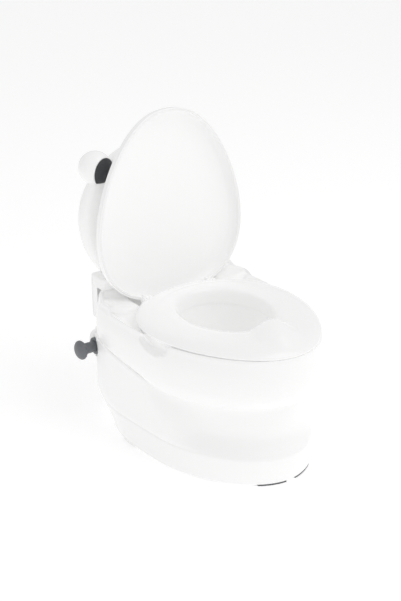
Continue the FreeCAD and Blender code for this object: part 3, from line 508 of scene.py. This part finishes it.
# Steps from the deck's edge to the opening for the pot.
DECK_SHARES = (0.0, 0.02, 0.1, 0.25, 0.5, 0.75, 0.95, 1.0)
UNDER_DECK_SHARES = (1.0, 0.95, 0.75, 0.5, 0.25, 0.0)


def bowl_flat(height, inset):
    """The bulging outline at a height, which may differ from point to point."""
    side = through(height, BOWL_SIDE) + inset
    front = through(height, BOWL_FRONT) + inset
    bead = BEAD_PROUD * smooth(1 - np.abs(height - BEAD_HEIGHT) / BEAD_REACH)
    return BOWL_OUTLINE.flat(side - bead, front - bead, inset)


def notch_dip(x, y):
    """How far the rim dips at the finger notches."""
    share = np.clip(1 - ((y - NOTCH_Y) / (NOTCH_RADII[1] * 0.95)) ** 2, 0, 1)
    return np.where(np.abs(x) > 60, NOTCH_DIP * share**2, 0.0)


def scooped(points):
    """Presses the finger notches into the outer wall."""
    x, y, z = points.T
    inside = 1 - ((y - NOTCH_Y) / NOTCH_RADII[1]) ** 2 - ((z - NOTCH_Z) / NOTCH_RADII[2]) ** 2
    wall = NOTCH_X - NOTCH_RADII[0] * np.sqrt(np.clip(inside, 0, 1)) - np.minimum(0, inside) * 20
    wall = np.maximum(wall, NOTCH_FLOOR)
    pressed = lower_of(np.abs(x), wall, 1.6)
    pressed = np.where(wall < NOTCH_X + 8, np.minimum(pressed, np.abs(x)), np.abs(x))
    return np.column_stack([np.copysign(pressed, x), y, z])


def rim_height(x, y):
    """Height of the bowl's top: the rim, the shelf behind the seat and the ledge behind that."""
    shelf = SHELF_RISE * smooth((y - SHELF_FRONT) / 12)
    ledge = (BOWL_HIGH[2] - RIM - SHELF_RISE) * smooth((y - LEDGE_FRONT + 3) / 9)
    return RIM - notch_dip(x, y) + shelf + ledge


def bowl_underside_rings():
    """From the well out to the bottom edge, and round that edge."""
    rings = []
    well = POT_OUTLINE.flat(POT_FLANGE - WELL_CLEARANCE)
    under = bowl_flat(PARTING, LOWER_EDGE)
    for share in (1.0, 0.9, 0.6, 0.3, 0.1, 0.0):
        flat = under * (1 - share) + well * share
        rings.append(lifted(flat, seam_height(flat[:, 1])))
    seam = seam_height(bowl_flat(PARTING, 0.0)[:, 1])
    for turn in np.linspace(0.2, 1.0, 5) * math.pi / 2:
        flat = bowl_flat(PARTING, LOWER_EDGE * (1 - math.sin(turn)))
        rings.append(lifted(flat, seam + LOWER_EDGE * (1 - math.cos(turn))))
    return rings


def bowl_wall_rings():
    """Up the outer wall, over the rim and down to the edge of the seat's opening."""
    rings = []
    opening = SEAT_OUTLINE.flat(OPENING_INSET)
    x, y = bowl_flat(PARTING, 0.0).T
    rim = rim_height(x, y)
    rim_width = np.linalg.norm(bowl_flat(RIM, 0.0) - opening, axis=1)
    roll = np.clip(0.7 * (rim_width - 4.5), 1.1, 6.0)
    start = seam_height(y) + LOWER_EDGE
    for share in np.linspace(0.04, 1.0, 26):
        height = start + (rim - roll - start) * share
        flat = bowl_flat(height, 0.0)
        rings.append(scooped(lifted(flat, height)))
    wall_top = rings[-1]
    inward = opening - wall_top[:, :2]
    gap = np.linalg.norm(inward, axis=1)
    inward = inward / gap[:, None]
    for turn in np.linspace(0.12, 1.0, 8) * math.pi / 2:
        flat = wall_top[:, :2] + inward * (roll * (1 - math.cos(turn)))[:, None]
        rings.append(lifted(flat, wall_top[:, 2] + roll * math.sin(turn)))
    edge = rings[-1][:, :2]
    dip = np.clip((gap - 8) * 0.7, 0, 8)
    for share in np.linspace(0.03, 1.0, 40):
        flat = edge * (1 - share) + opening * share
        x, y = flat.T
        top = rim_height(x, y) - dip * smooth(share * 1.6)
        rings.append(lifted(flat, trough(x, y, top)))
    rings[-1][:, 2] = np.minimum(rings[-1][:, 2], rings[-2][:, 2] - 0.5)
    return rings


def deck_rings(shares, drop):
    """Across the deck between the seat's opening and the pot's, lowered by drop."""
    rings = []
    outside = SEAT_OUTLINE.flat(OPENING_INSET + 0.8)
    well = POT_OUTLINE.flat(POT_FLANGE)
    for share in shares:
        flat = outside * (1 - share) + well * share
        x, y = flat.T
        rings.append(lifted(flat, trough(x, y, np.full(len(x), DECK)) - drop))
    return rings


def bowl_room_rings():
    """Down the hidden inner wall and back in to the well."""
    rings = []
    inset = BOWL_ROOM_INSET + WALL
    well = POT_OUTLINE.flat(POT_FLANGE - WELL_CLEARANCE)
    rings.append(lifted(bowl_flat(167.0, inset), BOWL_ROOM_TOP))
    for share in (0.7, 0.4, 0.0):
        flat = bowl_flat(PARTING + 50 * share, inset)
        bottom = seam_height(flat[:, 1]) + WALL
        rings.append(lifted(flat, bottom + (BOWL_ROOM_TOP - bottom) * share))
    for share in (0.5, 1.0):
        flat = bowl_flat(PARTING, inset) * (1 - share) + well * share
        rings.append(lifted(flat, seam_height(flat[:, 1]) + WALL))
    return rings


def bowl_rings():
    rings = bowl_underside_rings() + bowl_wall_rings()
    rings += deck_rings(DECK_SHARES, 0.0) + deck_rings(UNDER_DECK_SHARES, DECK_THICK)
    return rings + bowl_room_rings()


def eye(name, middle, thick, edge):
    """Round hinge eye centred on the hinge's axis, middle being its place across the chair."""
    half = thick / 2
    corners = [(-half, 0.01, 0), (-half, HINGE_RADIUS, edge), (half, HINGE_RADIUS, edge), (half, 0.01, 0)]
    return turned(name, rounded_path(corners), (middle, HINGE_Y, HINGE_Z), (1, 0, 0), 48)


def hinge_lugs():
    """Pairs of lugs either side of each lid arm."""
    lugs = []
    half = LUG_THICK / 2 - 0.02
    reach = HINGE_RADIUS - 0.05
    for side, _ in SIDES:
        for offset in (-LUG_OFFSET, LUG_OFFSET):
            middle = side * HINGE_X + offset
            lugs.append(eye("lug", middle, LUG_THICK, 0.5))
            low = (middle - half, HINGE_Y - reach, HINGE_Z - LUG_DROP)
            lugs.append(rounded_box("foot", low, (middle + half, HINGE_Y + reach, HINGE_Z), 0.4))
    return lugs


def make_bowl():
    bowl = skinned("bowl_body", bowl_rings(), closed=True)
    combined(bowl, "UNION", *hinge_lugs())
    return finished(bowl, "chair", "white_plastic", "bowl_shell")


# ---- pot and seat ----


def pot_rings():
    """Up the outside, round the flange, over the inner edge and down the inside."""
    flange_middle = DECK + POT_FLANGE_ROUND
    bottom = POT_LOW[2]
    depth = DECK - bottom

    def wall_ring(height, inset):
        foot = POT_FOOT * max(0.0, 1 - (height - bottom) / POT_FOOT) ** 2
        draft = POT_DRAFT * (DECK - height)
        return POT_OUTLINE.ring(height, POT_FLANGE + POT_INSET + draft + foot + inset)

    heights = bottom + depth * np.linspace(0, 1, 22) ** 1.4
    rings = [POT_OUTLINE.ring(bottom, inset) for inset in (60.0, 40.0)]
    rings += [wall_ring(height, 0.0) for height in heights[:-1]]
    for turn in np.linspace(-1, 1, 9) * math.pi / 2:
        height = flange_middle + POT_FLANGE_ROUND * math.sin(turn)
        rings.append(POT_OUTLINE.ring(height, POT_FLANGE_ROUND * (1 - math.cos(turn))))
    for turn in np.linspace(0, 1, 6) * math.pi / 2:
        inset = POT_FLANGE + POT_INSET + POT_WALL - POT_EDGE * (1 - math.sin(turn))
        rings.append(POT_OUTLINE.ring(POT_HIGH[2] - POT_EDGE * (1 - math.cos(turn)), inset))
    for height in heights[::-1][2:]:
        lift = POT_WALL * (1 - (height - bottom) / depth)
        rings.append(wall_ring(height, POT_WALL) + np.array([0, 0, lift]))
    rings += [POT_OUTLINE.ring(bottom + POT_WALL, inset) for inset in (40.0, 60.0)]
    return rings


def make_pot():
    pot = skinned("pot_body", pot_rings(), closed=False)
    return finished(pot, "pot", "white_plastic", "pot")


HOLE_OUTLINE = Outline((-64.6, -69.0), (64.6, 83.0), middle=7.0, taper=0.05)
# (height, inset) of the skirt and the seat's rounded lower edge.
SKIRT = ((183.9, 6.6), (184.5, 6.2), (188.0, 6.2), (192.0, 6.2), (193.6, 6.0), (194.2, 5.2))
SEAT_LOWER_EDGE = ((194.56, 4.4), (194.56, 2.2), (194.9, 1.4), (195.6, 0.7), (196.6, 0.25), (197.7, 0.1))
# (height, inset) from there to the crown, and (height, how far the hole's wall lies outside the hole).
SEAT_UPPER_EDGE = (
    (197.7, 0.1), (198.6, 0.6), (200, 2.3), (202.5, 6.2), (205, 12), (207, 19.5), (208.3, 29)
)
THROAT = ((184.5, -1.2), (189, -1.0), (195, -0.5), (202, 1.2), (205, 3.4), (207, 7.0), (208.3, 13.0))
CROWN_EDGE = 208.3
UPPER_EDGE_HEIGHTS = (198.2, 198.8, 199.5, 200.7, 202.0, 203.3, 204.5, 205.6, 206.5, 207.2, 207.8)
THROAT_HEIGHTS = (
    207.9, 207.4, 206.7, 205.9, 205.0, 204.0, 202.8, 201.2, 199.0, 196.0, 192.0, 188.0, 185.8, 184.8
)
# (height, inset) of the throat's lower lip, and (share, height) of the crown's underside.
THROAT_LIP = ((184.5, 1.1), (184.5, -0.6), (185.4, -1.0))
SKIRT_INSIDE = ((188.0, 8.8), (184.2, 8.7), (183.6, 8.2))
CROWN_ROOM = ((0.0, 197.0), (0.15, 204.0), (0.4, 205.5), (0.7, 205.0), (0.88, 202.0), (1.0, 194.0))


def guard_bump(x, y):
    """Height that the splash guard adds to the seat's crown."""
    reach = np.hypot(x / 40.0, (y - GUARD_Y) / np.where(y < GUARD_Y, 54.0, 28.0))
    return GUARD_HEIGHT * (1 - smooth(reach)) ** 0.9


def seat_rings():
    """Up the skirt and round the edge, across the crown, down the throat and back beneath."""
    rings = [SEAT_OUTLINE.ring(height, inset) for height, inset in SKIRT + SEAT_LOWER_EDGE]
    for height in UPPER_EDGE_HEIGHTS:
        rings.append(SEAT_OUTLINE.ring(height, through(height, SEAT_UPPER_EDGE)))
    outside = SEAT_OUTLINE.flat(through(CROWN_EDGE, SEAT_UPPER_EDGE))
    inside = HOLE_OUTLINE.flat(-13.0)
    for share in np.linspace(0, 1, 12):
        crown = CROWN_EDGE + 0.5 * math.sin(math.pi * share)
        rings.append(lifted(outside * (1 - share) + inside * share, crown))
    for height in THROAT_HEIGHTS:
        rings.append(HOLE_OUTLINE.ring(height, -through(height, THROAT)))
    for ring in rings:
        above = smooth((ring[:, 2] - 186) / 20)
        ring[:, 2] += guard_bump(ring[:, 0], ring[:, 1]) * above
    rings += [HOLE_OUTLINE.ring(height, inset) for height, inset in THROAT_LIP]
    inner = SEAT_OUTLINE.flat(10.5)
    lip = HOLE_OUTLINE.flat(-4.0)
    for share, height in CROWN_ROOM:
        ring = lifted(lip * (1 - share) + inner * share, height)
        room = 0.9 * math.sin(math.pi * min(share + 0.1, 1))
        ring[:, 2] += guard_bump(ring[:, 0], ring[:, 1]) * room
        rings.append(ring)
    rings += [SEAT_OUTLINE.ring(height, inset) for height, inset in SKIRT_INSIDE]
    return rings


def make_seat():
    seat = skinned("seat_body", seat_rings(), closed=True)
    pockets = []
    for side, _ in SIDES:
        middle = side * HINGE_X
        low = (middle - 10, HINGE_Y - 8, 150)
        pockets.append(rounded_box("pocket", low, (middle + 10, HINGE_Y + 20, 230), 1.5))
    combined(seat, "DIFFERENCE", *pockets)
    return finished(seat, "seat", "white_plastic", "seat_ring")


# ---- lid ----

LID_OUTLINE = Outline(
    (LID_LOW[0], -LID_LENGTH / 2, 0),
    (LID_HIGH[0], LID_LENGTH / 2, 0),
    taper=0.27,
    rear_taper=0.20,
    square=2.3,
    front_square=2.35,
)
# (share of the lid's depth, inset) of the dome, and the same the other way round.
LID_DOME = (
    (0.0, 0.0), (0.25, 0.3), (0.40, 0.9), (0.57, 5.0), (0.75, 14.0), (0.90, 32.0), (0.98, 58.0), (1.0, 85.0)
)
LID_CROWN = tuple((inset, share) for share, inset in LID_DOME)
LID_SHARES = np.concatenate([np.linspace(0, 0.4, 8), np.linspace(0.43, 0.9, 14), [0.93, 0.955, 0.975]])


def lid_opened(ring):
    """Swings a ring of the closed lid, whose rim plane is at height 0, up to where the lid stands."""
    hinge = np.array([0.0, HINGE_Y, HINGE_Z])
    moved = ring + np.array([0.0, LID_REAR - LID_LENGTH / 2, LID_PLANE]) - hinge
    sine, cosine = math.sin(-LID_OPEN), math.cos(-LID_OPEN)
    y = moved[:, 1] * cosine - moved[:, 2] * sine
    z = moved[:, 1] * sine + moved[:, 2] * cosine
    return np.column_stack([moved[:, 0], y, z]) + hinge


def dome_rings(offset, lowest):
    """Rings of the dome from its rim to its crown, drawn in by offset."""
    rings = []
    for share in LID_SHARES:
        height = max(lowest, share * LID_DEPTH - offset)
        rings.append(LID_OUTLINE.ring(height, through(share, LID_DOME) + offset))
    for inset in (50.0, 60.0, 72.0, 86.0, 100.0, 112.0):
        height = through(inset, LID_CROWN) * LID_DEPTH - offset
        rings.append(LID_OUTLINE.ring(height, inset + offset))
    return rings


def lid_skin(name, outer_offset, inner_offset, rim):
    """Open lid's skin between two offsets from the dome, with a rounded rim."""
    outer = dome_rings(outer_offset, rim)
    inner = dome_rings(inner_offset, rim)
    middle = (outer_offset + inner_offset) / 2
    spread = (inner_offset - outer_offset) / 2
    bend = []
    for turn in np.linspace(-1, 1, 7) * math.pi / 2:
        height = rim + spread * (1 - math.cos(turn))
        bend.append(LID_OUTLINE.ring(height, middle + spread * math.sin(turn)))
    rings = outer[::-1][:-1] + bend + inner[1:]
    return skinned(name, [lid_opened(ring) for ring in rings], closed=False)


def make_lid():
    shell = lid_skin("lid_outer", 0.0, 2.0, 0.0)
    arms = []
    half = HINGE_ARM / 2 - 0.05
    reach = HINGE_RADIUS - 0.1
    for side, _ in SIDES:
        middle = side * HINGE_X
        arms.append(eye("arm", middle, HINGE_ARM, 0.6))
        low = (middle - half, HINGE_Y, HINGE_Z - reach)
        arms.append(rounded_box("web", low, (middle + half, HINGE_Y + 10.5, HINGE_Z + reach), 0.5))
    combined(shell, "UNION", *arms)
    finished(shell, "lid", "white_plastic", "lid_shell")
    liner = lid_skin("lid_inner", 2.1, 3.7, 0.7)
    return finished(liner, "lid", "white_plastic", "lid_liner")


# ---- backrest and ears ----


def stood_up(points):
    """Stands a slab that lies flat up behind the lid, leaning back."""
    turn = Matrix.Rotation(math.pi / 2 - HEAD_LEAN, 3, "X")
    middle = np.array([0.0, HEAD_Y, HEAD_HIGH[2] - HEAD_HALF_HEIGHT])
    return np.asarray(points) @ np.array(turn).T + middle


def head_path(inset, sign):
    """(inset from the outline, height off the mid plane) from the face's middle out to the parting."""
    half = HEAD_THICK / 2 - inset
    radius = HEAD_EDGE - inset
    path = [(part, half) for part in (104.0, 95.0, 80.0, 60.0, 40.0, 26.0, 18.0)]
    for turn in np.linspace(0.0, 1.0, 10) * math.pi / 2:
        path.append((inset + radius * (1 - math.sin(turn)), half - radius * (1 - math.cos(turn))))
    return [(part, sign * height) for part, height in path]


def head_ring(inset, height):
    turn = np.linspace(0, 2 * np.pi, AROUND, endpoint=False)
    x = (HEAD_HALF_WIDTH - inset) * np.cos(turn)
    half_height = np.where(np.sin(turn) > 0, CROWN_HALF_HEIGHT, HEAD_HALF_HEIGHT)
    y = (half_height - inset) * np.sin(turn)
    return stood_up(np.column_stack([x, y, np.full(AROUND, height)]))


def head_half(name, sign):
    outer = head_path(0.0, sign)
    inner = head_path(WALL, sign)
    lip = [(0.0, sign * 0.5), (0.15, sign * 0.2), (0.5, 0.0), (WALL, 0.0)]
    path = outer + lip + inner[::-1]
    return skinned(name, [head_ring(*place) for place in path], closed=False)


def head_solid(name):
    path = head_path(0.0, 1) + head_path(0.0, -1)[::-1]
    return skinned(name, [head_ring(*place) for place in path], closed=False)


def above_block():
    return rounded_box("above", (-200, 0, BLOCK_TOP), (200, 400, 600), 0)


# (place across the chair, inset) of the block's rings, rounded at both ends.
BLOCK_ENDS = (
    (-110, 4.0), (-109.4, 2.2), (-108.2, 0.9), (-106, 0.0),
    (106, 0.0), (108.2, 0.9), (109.4, 2.2), (110, 4.0),
)
# An inset of this much would draw the block's section in to nothing.
BLOCK_REACH = 36.0


def hooked_block():
    """Foot of the backrest: a post behind the bowl whose flange reaches over the bowl's rear ledge."""
    wall_front = BOWL_HIGH[1] + 0.4
    ledge_top = BOWL_HIGH[2] + 0.1
    corners = [
        (wall_front, BLOCK_LOW[2], 1.0),
        (BLOCK_REAR, BLOCK_LOW[2], 3.0),
        (BLOCK_REAR, BLOCK_TOP, 4.0),
        (BLOCK_LOW[1], BLOCK_TOP, 3.0),
        (BLOCK_LOW[1], ledge_top, 1.0),
        (wall_front, ledge_top, 0.6),
    ]
    loop = corners[-1:] + corners + corners[:1]
    section = np.array(rounded_path(loop, 6)[1:-1])
    middle = section.mean(axis=0)
    rings = []
    for x, inset in BLOCK_ENDS:
        flat = middle + (section - middle) * (1 - inset / BLOCK_REACH)
        rings.append(np.column_stack([np.full(len(flat), x), flat]))
    return skinned("block", rings, closed=False)


def lid_clearance():
    rings = dome_rings(-2.0, -1.0)
    return skinned("clearance", [lid_opened(ring) for ring in rings], closed=False)


def make_backrest():
    front = combined(head_half("head_front", 1), "INTERSECT", above_block())
    finished(front, "chair", "white_plastic", "backrest_front")
    rear = combined(head_half("head_rear", -1), "INTERSECT", above_block())
    foot = combined(hooked_block(), "DIFFERENCE", lid_clearance())
    combined(rear, "UNION", foot)
    return finished(rear, "chair", "white_plastic", "backrest_back")


def ear_directions(side):
    """Directions from an ear's middle: the pad's middle, its edge all round, and the far side."""
    turn = np.linspace(0, 2 * np.pi, 120, endpoint=False)
    x = -EAR_PAD_IN * side + EAR_PAD_HALF[0] * np.cos(turn)
    z = -EAR_PAD_DOWN + EAR_PAD_HALF[1] * np.sin(turn)
    y = -np.sqrt(np.maximum(1.0, EAR_RADIUS**2 - x**2 - z**2))
    edge = np.column_stack([x, y, z])
    middle = np.array([-EAR_PAD_IN * side, -EAR_RADIUS, -EAR_PAD_DOWN])
    return middle / np.linalg.norm(middle), edge / np.linalg.norm(edge, axis=1)[:, None]


def swept(start, end, share):
    """Directions part of the way round from start to end."""
    angle = np.arccos(np.clip((start * end).sum(axis=-1), -1, 1))[:, None]
    return (start * np.sin((1 - share) * angle) + end * np.sin(share * angle)) / np.sin(angle)


# Steps of the ear's recessed face, of its raised edge (share, radius), and of the cap on it.
RECESS_SHARES = (0.05, 0.3, 0.6, 0.85, 0.97, 1.0)
RECESS_EDGE = ((0.002, EAR_RADIUS - 0.4), (0.006, EAR_RADIUS - 0.1), (0.012, EAR_RADIUS))
CAP_PROUD = 0.4
CAP_FACE = tuple((share, CAP_PROUD) for share in (0.05, 0.2, 0.4, 0.6, 0.8, 0.92, 0.96))
CAP_EDGE = ((0.975, 0.3), (0.985, 0.05), (0.99, -0.4), (0.99, -EAR_RECESS))
CAP_BACK = tuple((share, -EAR_RECESS) for share in (0.8, 0.5, 0.2, 0.05))


def make_ear(side, label):
    """Ball cut to fit the head, and the dark cap in its face."""
    low, high = box_mm(f"ear_{label}")
    outer = max(high[0], -low[0])
    centre = np.array([side * (outer - EAR_RADIUS), high[1] - EAR_RADIUS, high[2] - EAR_RADIUS])
    middle, edge = ear_directions(side)
    start = np.broadcast_to(middle, edge.shape)
    far = np.broadcast_to(-middle, edge.shape)
    recess = EAR_RADIUS - EAR_RECESS
    ball = [centre + recess * swept(start, edge, share) for share in RECESS_SHARES]
    ball += [centre + radius * swept(edge, far, share) for share, radius in RECESS_EDGE]
    ball += [centre + EAR_RADIUS * swept(edge, far, share) for share in np.linspace(0.04, 0.985, 34)]
    ear = skinned(f"ear_ball_{label}", ball, closed=False)
    combined(ear, "DIFFERENCE", head_solid("head"))
    finished(ear, "chair", "white_plastic", f"ear_{label}")
    cap = []
    for share, proud in CAP_FACE + CAP_EDGE + CAP_BACK:
        cap.append(centre + (EAR_RADIUS + proud) * swept(start, edge, share))
    patch = skinned(f"ear_patch_{label}", cap, closed=False)
    combined(patch, "DIFFERENCE", head_solid("head"))
    return finished(patch, "chair", "charcoal_plastic", f"ear_pad_{label}")


# ---- flush knob ----

# (reach, radius, rounding) of the plunger behind the ball, and of the collar's section.
BALL_RADIUS, NECK_RADIUS, STEM_RADIUS = 8.0, 8.3, 3.5
PLUNGER = (
    (16.6, NECK_RADIUS, 1.5),
    (49.0, NECK_RADIUS, 0.8),
    (49.0, STEM_RADIUS, 0.4),
    (59.4, STEM_RADIUS, 0.4),
    (59.8, 0.01, 0.0),
)
BORE, COLLAR_RADIUS, SLEEVE_RADIUS, COLLAR_LENGTH = 8.36, 13.2, 10.4, 12.0
COLLAR_SECTION = (
    (0.0, BORE, 0.6),
    (0.0, COLLAR_RADIUS, 1.4),
    (COLLAR_FLANGE, COLLAR_RADIUS, 0.3),
    (COLLAR_FLANGE, SLEEVE_RADIUS, 0.3),
    (COLLAR_LENGTH, SLEEVE_RADIUS, 0.4),
    (COLLAR_LENGTH, BORE, 0.3),
)


def make_knob():
    centre = (KNOB_LOW + KNOB_HIGH) / 2
    radius = (KNOB_HIGH[2] - KNOB_LOW[2]) / 2
    path = []
    for turn in np.linspace(0.02, 0.80, 26) * math.pi:
        path.append((BALL_RADIUS * (1 - math.cos(turn)), radius * math.sin(turn)))
    path += rounded_path([(*path[-1], 0.0), *PLUNGER])[1:]
    knob = turned("knob", path, (KNOB_LOW[0], centre[1], centre[2]), (1, 0, 0), 128)
    return finished(knob, "knob", "grey_plastic", "flush_knob")


def make_collar():
    centre = (KNOB_LOW + KNOB_HIGH) / 2
    section = rounded_path(COLLAR_SECTION[-1:] + COLLAR_SECTION + COLLAR_SECTION[:1], 6)[1:-1]
    turn = np.linspace(0, 2 * np.pi, 128, endpoint=False)
    rings = []
    for along, reach in section:
        x = np.full(len(turn), COLLAR_LOW[0] + along)
        y = centre[1] + reach * np.cos(turn)
        z = centre[2] + reach * np.sin(turn)
        rings.append(np.column_stack([x, y, z]))
    collar = skinned("collar", rings, closed=True)
    return finished(collar, "chair", "grey_plastic", "knob_collar")


# ---- carried parts ----


def paint_carried():
    """Gives every node its slot's material in place of the plain one, which bears the slot's name."""
    for carried in frame["nodes"].values():
        slot = carried.data.materials[0].name
        carried.data.materials.clear()
        carried.data.materials.append(MATERIALS[slot])
        carried.data.shade_smooth()
        carried.data.set_sharp_from_angle(angle=SHARP_ANGLE)


# ---- floor, light and camera ----


def make_stage():
    mesh = bpy.data.meshes.new("floor")
    reach = 6.0
    corners = [(-reach, -reach, 0), (reach, -reach, 0), (reach, reach, 0), (-reach, reach, 0)]
    mesh.from_pydata(corners, [], [(0, 1, 2, 3)])
    floor = bpy.data.objects.new("floor", mesh)
    bpy.context.scene.collection.objects.link(floor)
    paint = plastic("floor", (0.97, 0.97, 0.97), (0.965, 0.965, 0.965), 0.9, glow=0.25)
    floor.data.materials.append(paint)


def area_light(name, place, target, size, power):
    data = bpy.data.lights.new(name, "AREA")
    data.shape = "SQUARE"
    data.size = size
    data.energy = power
    made = bpy.data.objects.new(name, data)
    made.location = Vector(place)
    made.rotation_euler = (Vector(target) - Vector(place)).to_track_quat("-Z", "Y").to_euler()
    bpy.context.scene.collection.objects.link(made)


def make_light():
    world = bpy.data.worlds.new("studio")
    world.use_nodes = True
    world.node_tree.nodes["Background"].inputs["Color"].default_value = (1, 1, 1, 1)
    world.node_tree.nodes["Background"].inputs["Strength"].default_value = 0.70
    bpy.context.scene.world = world
    target = (0, 0, 0.2)
    area_light("key", (0.6, -1.0, 2.2), target, 1.5, 9.5)
    bpy.context.scene.view_settings.view_transform = "Standard"


def make_camera():
    """Camera a little above the seat, in front and on the knob's side."""
    azimuth, elevation = math.radians(-36.5), math.radians(23.4)
    back = Vector(
        (
            math.sin(azimuth) * math.cos(elevation),
            -math.cos(azimuth) * math.cos(elevation),
            math.sin(elevation),
        )
    )
    data = bpy.data.cameras.new("camera")
    data.lens = 61.4
    data.sensor_width = 36.0
    camera = bpy.data.objects.new("camera", data)
    target = Vector((0, 0.068, 0.198))
    camera.location = target + 1.5 * back
    camera.rotation_mode = "QUATERNION"
    camera.rotation_quaternion = (-back).to_track_quat("-Z", "Y")
    bpy.context.scene.collection.objects.link(camera)
    bpy.context.scene.camera = camera


make_camera()
make_stage()
make_light()
paint_carried()
make_base()
make_bowl()
make_pot()
make_seat()
make_lid()
make_backrest()
for ear_side, ear_label in SIDES:
    make_ear(ear_side, ear_label)
make_knob()
make_collar()
